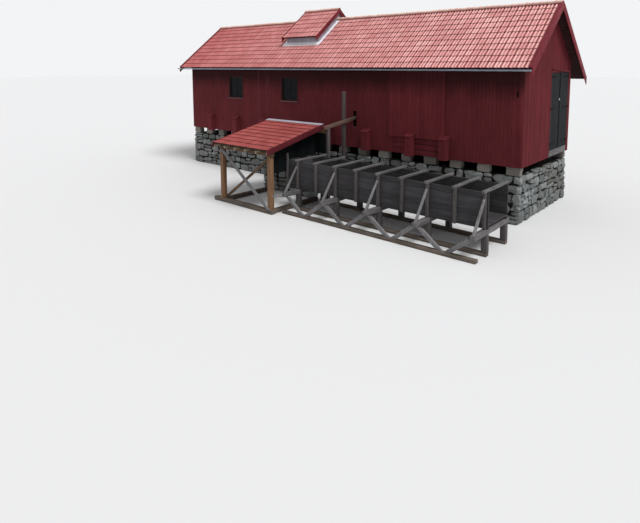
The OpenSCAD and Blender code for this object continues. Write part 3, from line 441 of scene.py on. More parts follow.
# The plate and the rear brace are the golden timber darkened by half as painted shade under the
# shelter roof.
finish("golden_timber_x_painted_shade", (0.06, 0.036, 0.02), (0.16, 0.095, 0.05), ALONG_X, 24,
       (0.05, 0.03, 0.018), **GOLDEN)
finish("pale_rafter_wood", (0.22, 0.16, 0.11), (0.46, 0.37, 0.28), ALONG_Y, 24,
       (0.17, 0.12, 0.085), tone=0.3, rough=SATIN, bump=0.4)
finish("inner_wood", (0.1, 0.062, 0.036), (0.22, 0.15, 0.095), ALONG_X, 22,
       (0.07, 0.045, 0.03), tone=0.4, bump=0.4)
finish("inner_wood_up", (0.11, 0.07, 0.04), (0.24, 0.165, 0.105), UPRIGHT, 22,
       (0.08, 0.05, 0.034), tone=0.4, bump=0.4,
       outside=(spot(0, RIDGE_Y, 4), (0.02, 0.004, 0.005)))
finish("floor_wood", (0.09, 0.062, 0.042), (0.22, 0.165, 0.12), ALONG_Y, 24,
       (0.06, 0.042, 0.03), tone=0.5, rough=SATIN, bump=0.4)
DECKING = {"tone": 0.4, "rough": MATT, "bump": 0.4, "shine": 0.1}
# The shelter's deck is dark as painted shade under its roof.
finish("shelter_deck", (0.028, 0.019, 0.011), (0.085, 0.06, 0.036), ALONG_X, 22,
       (0.02, 0.014, 0.009), **DECKING)
finish("soffit_wood", (0.022, 0.009, 0.009), (0.055, 0.022, 0.02), ALONG_X, 22,
       (0.016, 0.008, 0.008), **DECKING)

# %% Stone, tile, sheet, iron and glass
finish("field_stone", (0.053, 0.059, 0.06), (0.26, 0.278, 0.28), EVEN, 9,
       (0.1, 0.085, 0.065), stain_share=0.6, tone=0.75, rough=MATT, bump=0.8,
       depth=0.012, speck=(0.42, 0.43, 0.42), moss=(MOSS, 0.65, 0.75))
finish("joint_dark", (0.006, 0.006, 0.005), (0.022, 0.02, 0.017), EVEN, 12, bump=0.8,
       depth=0.01, shine=0.05)
finish("split_granite", (0.1, 0.095, 0.085), (0.29, 0.27, 0.245), EVEN, 14,
       (0.12, 0.1, 0.08), tone=0.7, rough=MATT, bump=0.7, depth=0.008,
       speck=(0.07, 0.068, 0.065), moss=(MOSS, 0.7, 0.6))
# The tiles' trough colours are painted shade, laid where their crest is low.
finish("roof_tile", (0.75, 0.31, 0.297), (1.0, 0.6, 0.565), EVEN, 30, (0.5, 0.17, 0.155),
       tone=0.55, rough=(0.55, 0.8), bump=0.25, depth=0.001, speck=(0.36, 0.13, 0.11),
       moss=(MOSS, 0.86, 0.5), trough_shade=(0.2, 0.047, 0.049), fade=(7.5, -11.0, (0.68, 0.4, 0.41)))
finish("shelter_tile", (0.33, 0.05, 0.046), (0.57, 0.132, 0.116), EVEN, 30,
       (0.3, 0.055, 0.045), tone=0.55, rough=(0.5, 0.75), bump=0.2, depth=0.001,
       trough_shade=(0.02, 0.003, 0.004))
finish("gutter_sheet", (0.22, 0.26, 0.31), (0.34, 0.39, 0.46), (0.1, 1, 1), 10,
       (0.14, 0.15, 0.16), rough=(0.32, 0.5), bump=0.1, metal=0.3)
finish("hood_sheet", (0.25, 0.215, 0.25), (0.38, 0.34, 0.385), (1, 1, 0.3), 9,
       (0.18, 0.15, 0.17), rough=(0.4, 0.6), bump=0.15, metal=0.2)
# The hood's flashing is pale metal brightened to near white as a painted highlight.
finish("pale_sheet", (0.88, 0.88, 0.97), (0.97, 0.97, 1.0), EVEN, 8, (0.66, 0.65, 0.7),
       stain_share=0.4, rough=(0.45, 0.65), bump=0.15)
finish("worn_sheet", (0.36, 0.335, 0.385), (0.48, 0.45, 0.51), EVEN, 8, (0.26, 0.24, 0.27),
       rough=(0.4, 0.65), bump=0.15, metal=0.2)
finish("black_iron", (0.0035, 0.0035, 0.0035), (0.011, 0.0105, 0.01), EVEN, 40,
       (0.022, 0.012, 0.009), stain_share=0.25, rough=SATIN, bump=0.4, depth=0.001,
       metal=0.1, shine=0.08)
finish("lock_steel", (0.35, 0.34, 0.32), (0.6, 0.59, 0.57), EVEN, 30, rough=(0.3, 0.5),
       bump=0.1, depth=0.0005, metal=0.7)
# The ridge tiles' clay is lightened as a painted highlight on their tops, and their lower sides take
# painted shade.
finish("ridge_clay_highlight", (0.6, 0.3, 0.25), (0.92, 0.72, 0.62), EVEN, 26, (0.46, 0.2, 0.16),
       stain_share=0.3, tone=0.6, rough=(0.6, 0.85), depth=0.001, speck=(0.62, 0.52, 0.46),
       trough_shade=(0.2, 0.06, 0.055))
finish("pane_glass", (0.003, 0.005, 0.0055), (0.009, 0.012, 0.013), EVEN, 3,
       rough=(0.2, 0.4), bump=0.02, shine=0.05)

# %% [markdown]
# ## Finishes for the solids that keep their shape
# Flat sheet, iron and hidden timbers are right as the CAD solids have them, and only get a
# finish. Long walls and gables show bare wood inside and are boarded outside.

# %% Finish the kept solids
for look, names in (
        ("inner_wood_up", "front_wall_left front_wall_right front_wall_slot_boards back_wall"
                          " left_gable right_gable_sides right_gable_top"),
        ("inner_wood", "floor rafters tie_beams ridge_board"),
        ("hatch_paint", "hatch_panel"), ("gutter_sheet", "gutter gutter_brackets"),
        ("hood_sheet", "hood_walls"), ("pale_sheet", "hood_flashing"),
        ("worn_sheet", "shelter_flashing"), ("pane_glass", "window_panes"),
        ("black_iron", "door_near_straps door_far_straps door_pintles")):
    for name in names.split():
        coat(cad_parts[name].data, look)

# %% [markdown]
# ## Timbers with worn edges
# A sawn post is never knife sharp. A copy of the solid has its triangles merged into flat faces,
# and a Bevel modifier rounds its edges. A long timber is cut to give it points between its ends,
# which noise moves a few millimetres, as drying wood moves.

# %% Soften the timbers
GREY_POST_X = spot(2.3, 0, 0).x
REAR_BRACE_Y = spot(0, -5.0, 0).y
SHELTER_Y = spot(0, -1.0, 0).y
WALL_FACES = (spot(0, 0.01, 0).y, spot(0, DEPTH - 0.01, 0).y)


def soften(node, look, edge, body="mill", cut=None, sway=0.0, keep=None, name=""):
    """keep(face's middle) chooses the timbers of a node that get this finish."""
    timber = bpy.data.objects.new("worn_" + (name or node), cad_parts[node].data.copy())
    bpy.context.scene.collection.objects.link(timber)
    if keep:
        reshape(timber, bpy.ops.mesh.delete, lambda face: not keep(face.center), type="FACE")
    edit(timber)
    bpy.ops.mesh.remove_doubles(threshold=0.0001)
    bpy.ops.mesh.dissolve_limited(angle_limit=radians(1))
    modify(timber, "BEVEL", width=edge, segments=2, limit_method="ANGLE",
                   angle_limit=radians(40))
    if cut:
        axis, at, stop, step = cut
        normal = Vector([float(letter == axis) for letter in "xyz"])
        while at < stop:
            saw(timber, normal * at, normal, off=False)
            at += step
    if sway:
        roughen(timber, 1.7, sway)
    dress(done(timber, 35), look, body, node)


def in_wall(middle):
    return WALL_FACES[0] < middle.y < WALL_FACES[1]


soften("flume_posts", "grey_timber_up", 0.008, cut=("z", 1.0, 2.3, 0.3), sway=0.008)
soften("flume_ties", "grey_timber_y", 0.009, cut=("y", -4.4, -2.7, 0.35), sway=0.01)
soften("flume_stringers", "grey_timber_x", 0.01)
soften("trestle_beams", "grey_timber_y", 0.012, cut=("y", -5.0, -2.8, 0.4), sway=0.01)
soften("trestle_posts", "grey_timber_up", 0.014, cut=("z", 0.2, 0.7, 0.2), sway=0.01)
soften("flume_braces", "grey_prop_wood", 0.008, cut=("z", 0.3, 1.9, 0.3), sway=0.009)
soften("sill_logs", "brown_sill_wood", 0.016)
soften("sluice_pole", "grey_pole_wood", 0.012)
soften("sluice_lever", "lever_wood", 0.01, body="lever")
soften("shelter_posts", "golden_timber_up", 0.01, keep=lambda p: p.x < GREY_POST_X)
soften("shelter_posts", "grey_timber_up", 0.01, keep=lambda p: p.x > GREY_POST_X,
       name="grey_post")
soften("shelter_beams", "golden_timber_x_painted_shade", 0.008)
soften("shelter_rafters", "pale_rafter_wood", 0.006)
soften("shelter_braces", "grey_prop_wood", 0.005, keep=lambda p: p.y < REAR_BRACE_Y)
soften("shelter_braces", "golden_timber_x_painted_shade", 0.005, keep=lambda p: p.y > REAR_BRACE_Y,
       name="rear_brace")
soften("sill_beams", "grey_timber_x", 0.012)
soften("door_threshold", "grey_timber_y", 0.006)
soften("bargeboards", "barge_paint", 0.005, keep=lambda p: p.y > SHELTER_Y)
soften("bargeboards", "fascia_paint", 0.005, keep=lambda p: p.y < SHELTER_Y,
       name="shelter_fascia")
soften("window_frames", "sash_red_in_painted_shade", 0.003, keep=in_wall)
soften("window_frames", "casing_paint", 0.003, keep=lambda p: not in_wall(p),
       name="window_casings")
soften("wall_trim", "red_trim", 0.004)
soften("hatch_rails", "red_trim", 0.005)

# %% [markdown]
# ## Roof tiles
# A double-roll tile is one wavy sheet with two rolls, about 30 cm wide. A grid gets the wave from
# its own points, and Solidify makes it 12 mm thick. Its nose lies on the tile below, and so each
# course casts a scalloped shadow. `tile_crest` says where shade is painted: in the troughs, in the
# joint beside the next tile, on the underside and under the nose of the tile above.

# %% Model one tile
TILE_W, TILE_L, LAP = 0.3, 0.385, 0.045
ROLL = 0.038
TILE_T = 0.012


def tile_roll(x):
    return sin(2 * pi * x / TILE_W) ** 2


def tile_wave(x, y):
    """Height of a tile's upper side."""
    return TILE_LOW + (TILE_HIGH - TILE_LOW) * y / TILE_L + ROLL * (tile_roll(x) - 0.6)


def tile_crest(point):
    """Painted shade: the joint beside the next tile gets more than the hollow between the rolls,
    and the underside and the part under the tile above get the most.
    """
    if point.z < tile_wave(point.x, point.y) - TILE_T / 2:
        return 0.0
    least = 0.48 * sin(pi * point.x / TILE_W) ** 2
    crest = least + (1 - least) * roll_crest(point)
    return crest * (0.2 if point.y < 0 else 1.0)


def roll_crest(point):
    """0 in the troughs, where shade is painted, 1 on the rolls, with a narrow change between them.
    """
    return min(max((tile_roll(point.x) - 0.3) / 0.4, 0.0), 1.0)


one_tile = add_shape(bpy.ops.mesh.primitive_grid_add, "one_tile", (TILE_W, TILE_L + LAP, 1),
                     x_subdivisions=12, y_subdivisions=2, size=1,
                     location=(TILE_W / 2, (TILE_L - LAP) / 2, 0))
for v in one_tile.data.vertices:
    if 0 < v.co.y < TILE_L - 0.01:
        v.co.y = 0.05
    v.co.z = tile_wave(v.co.x, v.co.y)
modify(one_tile, "SOLIDIFY", thickness=TILE_T, offset=-1)


# %% [markdown]
# ## Courses on a slope
# A slope has three directions: along the eaves, down the slope, and out of it. A matrix made from
# these places a tile by its column and course, stretched a few millimetres so that a whole number
# fills the slope. The table gives each slope its ends, top, side, pitch, reach, tile and solid.

# %% Lay the tiles
HOOD, HOOD_RUN = (-3.31, -0.75), 1.95
SHELTER, SHELTER_BACK = (-1.25, 2.36), -2.0
SHELTER_PITCH = radians(12.8)
SHELTER_APEX = 3.51 - (DECK + 0.065) / cos(SHELTER_PITCH)
RIDGE, HOOD_RIDGE = (RIDGE_Y, APEX), (RIDGE_Y, APEX + 0.55)
ROOFS = {
    "front": (ROOF_ENDS, RIDGE, -1, PITCH, 3.3, "roof_tile", "roof_front"),
    "back": (ROOF_ENDS, RIDGE, 1, PITCH, 3.9, "roof_tile", "roof_back"),
    "hood_front": (HOOD, HOOD_RIDGE, -1, PITCH, HOOD_RUN, "roof_tile", "hood_roof"),
    "hood_back": (HOOD, HOOD_RIDGE, 1, PITCH, HOOD_RUN, "roof_tile", "hood_roof"),
    "shelter": (SHELTER, (SHELTER_BACK, SHELTER_APEX), -1, SHELTER_PITCH, 3.4, "shelter_tile",
                "shelter_roof")}
EAVES_INSET, JOG = 0.012, (0.0015, 0.003)


def slope_matrix(ends, top, side, pitch):
    """side -1 falls to the front and 1 to the back."""
    down = Vector((0, side * cos(pitch), -sin(pitch)))
    out = Vector((0, side * sin(pitch), cos(pitch)))
    axes = Matrix((Vector((side, 0, 0)), down, out)).transposed().to_4x4()
    return moved(ends[0] if side > 0 else ends[1], *top) @ axes


def tile_slope(part, ends, top, side, pitch, run, tile, node):
    base = slope_matrix(ends, top, side, pitch)
    length = ends[1] - ends[0]
    edge = (run - (TILE_HIGH + 0.4 * ROLL) * sin(pitch)) / cos(pitch)
    start = -TILE_LOW * tan(pitch)
    courses = round((edge - start) / TILE_L)
    columns = round(length / TILE_W)
    gauge, cover = (edge - EAVES_INSET - start) / courses, length / columns
    places = []
    for row in range(courses):
        for column in range(columns):
            jog = Vector([rng.uniform(-1, 1) * most for most in JOG] + [0])
            here = Vector((column * cover, start + row * gauge, 0)) + jog
            places.append((0, base @ Matrix.Translation(here)
                           @ sized(cover / TILE_W, gauge / TILE_L, 1)))
    lay_copies("tiles_" + part, [one_tile], places, tile, stands_for=node,
               smooth=40, crest=roll_crest if part == "shelter" else tile_crest)


for part, roof in ROOFS.items():
    tile_slope(part, *roof)
drop(one_tile)

# %% [markdown]
# ## Boards
# Most of the mill is boards. One board is a cube with its long front edges bevelled, one unit
# long, stretched along its grain for each use. The gap that stays between neighbours draws the
# upright lines on the walls.

# %% Model one board
BOARD_W = 0.16


def board_model(name, width, thick, gap=0.005, chamfer=0.004):
    """Stands on the origin, one metre high, with its face towards -Y."""
    half = width / 2 - gap / 2
    board = add_block(name, (-half, -thick, 0), (half, 0, 1))
    choose(board)
    enter("EDIT")
    bpy.ops.mesh.select_mode(type="EDGE")
    bpy.ops.mesh.select_all(action="DESELECT")
    enter("OBJECT")
    for e in board.data.edges:
        a, b = (board.data.vertices[i].co for i in e.vertices)
        e.select = a.y < -thick / 2 and b.y < -thick / 2 and abs(a.x - b.x) < 1e-6
    enter("EDIT")
    bpy.ops.mesh.bevel(offset=chamfer, segments=1, affect="EDGES")
    return done(board)


def fill_fields(fields, face, width, wobble):
    """Places for boards that fill (left, right, low, high) fields; face stands the wall up."""
    places = []
    for left, right, low, high in fields:
        boards = max(1, round((right - left) / width))
        w = (right - left) / boards
        for i in range(boards):
            shift = Vector((left + (i + 0.5) * w, rng.uniform(-wobble, wobble), low))
            places.append((0, face @ Matrix.Translation(shift) @ sized(w / width, 1, high - low)))
    return places


def lay_boards(name, fields, face, look, slot, width=BOARD_W, thick=0.014, gap=0.005,
               chamfer=0.004, wobble=0.0015, stands_for=""):
    board = board_model("board", width, thick, gap, chamfer)
    places = fill_fields(fields, face, width, wobble)
    laid = lay_copies(name, [board], places, look, stands_for=stands_for)
    drop(board)
    return laid


# %% [markdown]
# ## Wall cladding
# The long walls are upright boards cut short over and under each opening. The gables get boards
# of full height, sawn along the slopes of the roof in place, as a carpenter does.

# %% Clad the walls
WALL_TOP = APEX - RIDGE_Y * tan(PITCH) - 0.01
LEVER_SLOT = (2.502, 2.702, 3.2367, 3.9967)
SMALL_SLOT = (10.39, 10.45, 4.95, 5.17)
HATCH = (4.61, 7.42, 3.0, 6.18)
RECESS = (4.8, 7.2625)


def around_windows(left, right, mirrored=False):
    fields, at = [], left
    spans = [(-b, -a) for a, b in WINDOWS] if mirrored else WINDOWS
    for a, b in sorted(spans):
        fields += [(at, a, FOOT, WALL_TOP), (a, b, FOOT, WINDOW_Z[0]),
                   (a, b, WINDOW_Z[1], WALL_TOP)]
        at = b
    return fields + [(at, right, FOOT, WALL_TOP)]


def around_slot(left, right, low, high):
    return [(left, right, FOOT, low), (left, right, high, WALL_TOP)]


def clad_gable(name, fields, face):
    clad = lay_boards(name, fields, face, "red_paint", "red_boards")
    for side in (-1, 1):
        saw(clad, spot(0, RIDGE_Y, APEX - 0.004), (0, side * sin(PITCH), cos(PITCH)))


front_fields = (
    around_windows(-HALF, LEVER_SLOT[0]) + around_slot(*LEVER_SLOT)
    + [(LEVER_SLOT[1], HATCH[0], FOOT, WALL_TOP), (HATCH[0], RECESS[0], FOOT, HATCH[2]),
       (RECESS[1], HATCH[1], FOOT, HATCH[2]), (HATCH[1], SMALL_SLOT[0], FOOT, WALL_TOP)]
    + around_slot(*SMALL_SLOT) + [(SMALL_SLOT[1], HALF, FOOT, WALL_TOP)])
lay_boards("cladding_front", front_fields, moved(0, 0, 0), "wall_paint", "red_boards")
lay_boards("cladding_back", around_windows(-HALF, HALF, True),
           moved(0, DEPTH, 0) @ turned(180, "Z"), "wall_paint", "red_boards")
clad_gable("cladding_left", [(-DEPTH, 0, FOOT, APEX)], moved(-HALF, 0, 0) @ turned(-90, "Z"))
clad_gable("cladding_right", [(0, DOORWAY[0], FOOT, APEX), (*DOORWAY, DOOR_HEAD, APEX),
                              (DOORWAY[1], DEPTH, FOOT, APEX)], moved(HALF, 0, 0) @ turned(90, "Z"))

# %% [markdown]
# ## Floor and hatch
# Through the open doors the floor of the mill room shows, laid with worn boards from wall to
# wall. A large panel closes a former opening in the front wall. It stands out from the wall and
# has wider boards.

# %% Board the floor and the hatch
FLOOR_TOP = 2.52
lay_boards("floor_boards", [(-HALF + 0.2, HALF - 0.2, 0, DEPTH - 0.4)],
           moved(0, 0.2, FLOOR_TOP) @ turned(-90, "X"), "floor_wood", "floor_timber", 0.15,
           thick=0.006, gap=0.004, chamfer=0.002, wobble=0.0)
lay_boards("hatch_boards", [HATCH], moved(0, -0.06, 0), "hatch_paint", "red_boards", 0.2)

# %% [markdown]
# ## Boxed posts at the wall foot
# Eight wooden boxes stand against the wall, put together from narrow boards on three sides, with
# a sloping cap that sheds the rain and a batten round the foot.

# %% Build the boxed posts
def boxed_post():
    front, side = -0.3, 0.17
    low, high = -0.035, 0.83
    fall = tan(radians(20))
    parts = [add_block("front_board", (x0, front, low), (x1, front + 0.024, high))
             for x0, x1 in ((-side, -0.002), (0.002, side))]
    for x in (-side, side - 0.022):
        for y0, y1 in ((front + 0.026, -0.139), (-0.135, 0)):
            top = high + (y0 - front) * fall
            parts.append(add_block("side_board", (x, y0, low), (x + 0.022, y1, top)))
    cap = add_block("cap", (-side - 0.035, front - 0.035, 0), (side + 0.035, 0, 0.032))
    for v in cap.data.vertices:
        v.co.z += high + (v.co.y - front) * fall
    parts.append(cap)
    parts.append(add_block("foot_batten", (-side - 0.012, front - 0.012, low),
                           (side + 0.012, 0, low + 0.07)))
    for part in parts:
        modify(part, "BEVEL", width=0.004, segments=1)
    return join(parts)


post_box = boxed_post()
box_spots = [-8.57 + 2.39 * i for i in range(7)] + [7.45]
lay_copies("boxed_posts", [post_box], [(0, moved(x, -0.002, FOOT)) for x in box_spots],
           "red_trim", stands_for="wall_foot_boxes")
drop(post_box)

# %% [markdown]
# ## Window bars
# Each window has six panes between narrow glazing bars, which stand just in front of the glass.

# %% Fit the glazing bars
SASH, GLASS_Y = 0.055, 0.065
bar = board_model("bar", 0.032, 0.022, gap=0, chamfer=0.008)


def glazing(left, right, face_y, turn, start):
    low, high = WINDOW_Z[0] + SASH, WINDOW_Z[1] - SASH
    places = [(0, moved((left + right) / 2, face_y, low) @ turn @ sized(1, 1, high - low))]
    for third in (1, 2):
        z = low + (high - low) * third / 3
        places.append((0, moved(start, face_y, z) @ turn @ turned(90, "Y")
                       @ sized(1, 1, right - left - 2 * SASH)))
    return places


bar_places = []
for left, right in WINDOWS:
    bar_places += glazing(left, right, GLASS_Y, Matrix.Identity(4), left + SASH)
    bar_places += glazing(left, right, DEPTH - GLASS_Y, turned(180, "Z"), right - SASH)
# The glazing bars take the sashes' painted shade.
lay_copies("glazing_bars", [bar], bar_places, "sash_red_in_painted_shade")
drop(bar)

# %% [markdown]
# ## The doors
# Each leaf is six upright boards on three ledges, 60 mm thick in all, and rides on its own body,
# so that it swings with the door. A narrow black strip on each meeting edge is a painted shadow
# of the seam between the leaves, and round bolt heads hold the straps.

# %% Build the door leaves
LEAF_Z = (2.528, 5.842)
LEAVES = {"near": (3.088, 4.236), "far": (4.244, 5.392)}
STRAPS = [LEAF_Z[0] + 0.26, LEAF_Z[0] + 3.314 * 0.53, LEAF_Z[1] - 0.2]
LEAF_X = HALF - 0.034
STRIP_W, STRIP_T = 0.065, 0.006
door_board = board_model("door_board", 0.19, 0.034, gap=0.001, chamfer=0.006)
ledge = board_model("ledge", 0.18, 0.026, gap=0, chamfer=0.008)
for which, (y0, y1) in LEAVES.items():
    places = fill_fields([(y0, y1, *LEAF_Z)], moved(LEAF_X, 0, 0) @ turned(90, "Z"), 0.19, 0.0)
    for z in STRAPS:
        places.append((1, moved(LEAF_X, y0 + 0.05, z + 0.03) @ turned(-90, "Z")
                       @ turned(-90, "Y") @ sized(1, 1, y1 - y0 - 0.1)))
    lay_copies(which + "_leaf", [door_board, ledge], places, "door_paint",
               "door_" + which, f"door_{which}_leaf")
drop(door_board, ledge)
# The black strips are a painted shadow of the seam between the leaves.
for body, edge_y in (("door_near", LEAVES["near"][1] - STRIP_W), ("door_far", LEAVES["far"][0])):
    strip = add_block(body + "_seam_shadow_strip", spot(HALF, edge_y, LEAF_Z[0] + 0.01),
                      spot(HALF + STRIP_T, edge_y + STRIP_W, LEAF_Z[1] - 0.01))
    modify(strip, "BEVEL", width=0.002, segments=2)
    dress(strip, "tar_black_and_seam_shadow", body)


# %% Bolt heads
strap_bolt = add_shape(bpy.ops.mesh.primitive_uv_sphere_add, "strap_bolt", segments=12,
                       ring_count=6, radius=0.016)
edit(strap_bolt)
bpy.ops.mesh.bisect(plane_co=(0, 0, 0), plane_no=(0, 1, 0), clear_outer=True, use_fill=True)
bpy.ops.mesh.select_all(action="SELECT")
bpy.ops.transform.resize(value=(1, 0.45, 1))
done(strap_bolt)
for body, hinge, way in (("door_near", DOORWAY[0], 1), ("door_far", DOORWAY[1], -1)):
    heads = [(0, moved(HALF + 0.0075, hinge + way * step, z + 0.03) @ turned(90, "Z"))
             for z in STRAPS for step in (0.08, 0.24, 0.4, 0.56, 0.68)]
    lay_copies(body + "_bolts", [strap_bolt], heads, "black_iron", body, smooth=50)

# %% [markdown]
# ## The lock
# A pale steel plate covers the iron lock case. Its face is inset and pressed out a little,
# and a handle of round bar, bent by a spin, stands in front of it.

# %% Fit the lock plate
plate = add_block("lock_plate", spot(HALF + 0.0242, 4.094, 4.63), spot(HALF + 0.0272, 4.18, 4.732))
reshape(plate, bpy.ops.mesh.inset, lambda f: f.normal.x > 0.9, thickness=0.01, depth=0.003)
modify(plate, "BEVEL", width=0.0015, segments=2)
dress(plate, "lock_steel", "door_near")
handle = add_shape(bpy.ops.mesh.primitive_circle_add, "door_handle", vertices=12, radius=0.006,
                   fill_type="NGON", rotation=(0, pi / 2, 0),
                   location=spot(HALF + 0.03, 4.137, 4.715))
edit(handle)
bpy.ops.mesh.spin(steps=16, angle=pi, axis=(0, 1, 0), use_auto_merge=False,
                  center=spot(HALF + 0.03, 4.137, 4.68))
bpy.ops.mesh.select_all(action="SELECT")
bpy.ops.mesh.remove_doubles(threshold=0.0001)
bpy.ops.mesh.normals_make_consistent(inside=False)
dress(done(handle, 40), "lock_steel", "door_near")

# %% [markdown]
# ## Roof boarding
# From below, the overhangs show rough boards that run along the eaves, between the rafters and
# the battens. The shelter and the hood have them too.

# %% Board the roofs
DECK_LOOKS = {"roof_tile": "soffit_wood", "shelter_tile": "shelter_deck"}


def deck_slope(part, ends, top, side, pitch, run, tile, node):
    base = slope_matrix(ends, top, side, pitch)
    length = ends[1] - ends[0] - 0.004
    stop = (run - TILE_HIGH * sin(pitch)) / cos(pitch) - 0.04
    boards, courses = round(stop / 0.17), round(stop / TILE_L)
    width = stop / boards
    model = board_model("deck_board", width, DECK - 0.02, gap=0.006)
    batten = add_block("batten", (0, 0, DECK - 0.02), (1, 0.045, DECK + 0.028))
    places = []
    for i in range(boards):
        here = Matrix.Translation((0.002, (i + 0.5) * width, DECK - 0.02))
        places.append((0, base @ here @ turned(90, "Y") @ turned(90, "Z") @ sized(1, -1, length)))
    for i in range(courses + 1):
        here = Matrix.Translation((0.002, min(stop - 0.05, 0.06 + i * stop / courses), 0))
        places.append((1, base @ here @ sized(length, 1, 1)))
    laid = lay_copies("boarding_" + part, [model, batten], places, DECK_LOOKS[tile],
                      stands_for=node)
    reshape(laid, bpy.ops.mesh.normals_make_consistent, inside=False)
    drop(model, batten)


for part, roof in ROOFS.items():
    deck_slope(part, *roof)

# %% [markdown]
# ## Ridge tiles
# Half-round tiles cover the ridge, each slipped a little over the next. One is half a cylinder,
# wider at its mouth, with a small collar, and Solidify gives it its thickness.

# %% Lay the ridge
RIDGE_L, BELOW_AXIS, COLLAR = 0.42, 0.055, 0.05
ridge_tile = add_shape(bpy.ops.mesh.primitive_cylinder_add, "ridge_tile", vertices=24, radius=0.13,
                       depth=RIDGE_L, end_fill_type="NOTHING", rotation=(0, pi / 2, 0),
                       location=(RIDGE_L / 2, 0, 0))
edit(ridge_tile)
bpy.ops.mesh.bisect(plane_co=(0, 0, -BELOW_AXIS), plane_no=(0, 0, -1), clear_outer=True)
for x in (COLLAR, COLLAR + 0.006):
    bpy.ops.mesh.select_all(action="SELECT")
    bpy.ops.mesh.bisect(plane_co=(x, 0, 0), plane_no=(1, 0, 0))
done(ridge_tile)
for v in ridge_tile.data.vertices:
    slim = 1.0 if v.co.x < COLLAR + 0.002 else 0.9 - 0.04 * (v.co.x - COLLAR - 0.006) / RIDGE_L
    v.co.y *= slim
    v.co.z = (v.co.z + BELOW_AXIS) * slim - BELOW_AXIS
reshape(ridge_tile, bpy.ops.mesh.normals_make_consistent, inside=False)
modify(ridge_tile, "SOLIDIFY", thickness=TILE_T, offset=-1)
ridge_places = []
for x0, x1, z in ((ROOF_ENDS[0], HOOD[0] + 0.08, 8.7), (HOOD[1] - 0.08, ROOF_ENDS[1], 8.7),
                  (*HOOD, 9.25)):
    pieces = round((x1 - x0) / 0.3)
    spacing = (x1 - x0) / pieces
    for i in range(pieces):
        long = spacing + (0.04 if i < pieces - 1 else 0)
        ridge_places.append((0, moved(x0 + i * spacing, RIDGE_Y, z - 0.0335)
                             @ sized(long / RIDGE_L, 1, 1)))
# The crest rises with height, so the ridge tiles' lower sides take painted shade.
lay_copies("ridge_tiles", [ridge_tile], ridge_places, "ridge_clay_highlight", smooth=35,
           stands_for="ridge_cap", crest=lambda p: min(1.0, max(0.0, 8 * (p.z + 0.035))))
drop(ridge_tile)

# %% [markdown]
# ## Drystone walls
# A field stone starts as a cube, is subdivided, pulled towards a ball, and roughened with noise.
# Eight such stones, turned and stretched, give a wall that never seems to repeat. A dark core
# behind them shows only in the joints.

# %% Model the stones
def stone_model(seed, squareness, rough):
    stone = add_shape(bpy.ops.mesh.primitive_cube_add, f"stone_{seed}", size=1)
    reshape(stone, bpy.ops.mesh.subdivide, number_cuts=3)
    for v in stone.data.vertices:
        v.co = v.co.lerp(v.co.normalized() * 0.6, 1 - squareness)
    roughen(stone, 2.2, rough, seed * 7.3)
    reach = [max(abs(v.co[axis]) for v in stone.data.vertices) for axis in range(3)]
    for v in stone.data.vertices:
        v.co = Vector([v.co[axis] * 0.5 / reach[axis] for axis in range(3)])
    return stone


def split_length(total, short, long):
    """Cuts a length into uneven parts between two sizes."""
    parts = max(1, round(total * 2 / (short + long)))
    shares = [rng.uniform(short, long) for _ in range(parts)]
    return [share * total / sum(shares) for share in shares]


def bed_line(x, z, height, seed):
    """A bed joint wanders up and down along the wall, but not at its foot and its top."""
    if z < 0.01 or z > height - 0.01:
        return z
    return z + 0.11 * noise.noise(Vector((x * 0.9, seed, z)))


def stone_cells(length, height):
    """Boxes (left, right, bottom, top) that fill a wall's face in rough courses. Here and
    there a bed holds two thin stones, or two small ones stand side by side."""
    cells, z, seed = [], 0.0, rng.uniform(0, 90)
    for tall in split_length(height, 0.28, 0.52):
        x = 0.0
        for wide in split_length(length, 0.26, 0.92):
            low = bed_line(x + wide / 2, z, height, seed)
            high = bed_line(x + wide / 2, z + tall, height, seed)
            cut = rng.uniform(0.35, 0.65)
            kind = rng.random()
            if kind < 0.26:
                middle = low + (high - low) * cut
                cells += [(x, x + wide, low, middle), (x, x + wide, middle, high)]
            elif kind < 0.38 and wide > 0.5:
                side = x + wide * cut
                cells += [(x, side, low, high), (side, x + wide, low, high - 0.03)]
            else:
                cells.append((x, x + wide, low, high))
            x += wide
        z += tall
    return cells


def stone_face(x, y, out, length, deep=0.3):
    """Places for stones over a face, which runs to the right as seen from outside."""
    places = []
    start, out, up = spot(x, y, 0), Vector(out), Vector((0, 0, 1))
    along = up.cross(out)
    axes = Matrix((along, out, up)).transposed().to_4x4()
    for left, right, low, high in stone_cells(length, WALL_H):
        sink = rng.uniform(0.0, 0.035)
        middle = start + along * (left + right) / 2 + up * (low + high) / 2
        middle -= out * (deep / 2 + sink)
        inside = 0.1 < left and right < length - 0.1 and 0.1 < low and high < WALL_H - 0.05
        tilt = Matrix.Rotation(rng.uniform(-0.16, 0.16) if inside else 0, 4, "Y")
        fill = rng.uniform(0.97, 1.04) if inside else 1.0
        size = sized((right - left) * fill, deep, (high - low) * fill)
        turn = turned(180 * rng.randint(0, 1), "XYZ"[rng.randint(0, 2)])
        places.append((rng.randint(0, 7), Matrix.Translation(middle) @ axes @ tilt @ size @ turn))
    return places


def stone_wall(name, faces, top, boxes, nodes):
    """Stones round a dark core: each of its blocks runs from one (x, y) to another."""
    lay_copies(name + "_stones", stones, faces, "field_stone", smooth=45,
               stands_for=nodes)
    core = join([add_block(name + "_core", spot(*lo, 0.02), spot(*hi, top)) for lo, hi in boxes])
    reshape(core, bpy.ops.mesh.subdivide, number_cuts=6)
    roughen(core, 3, 0.012)
    dress(core, "joint_dark", stands_for=nodes)


stones = [stone_model(seed, 0.56 + 0.05 * (seed % 4), 0.22) for seed in range(8)]
FRONT, BACK, LEFT, RIGHT = (0, -1, 0), (0, 1, 0), (-1, 0, 0), (1, 0, 0)

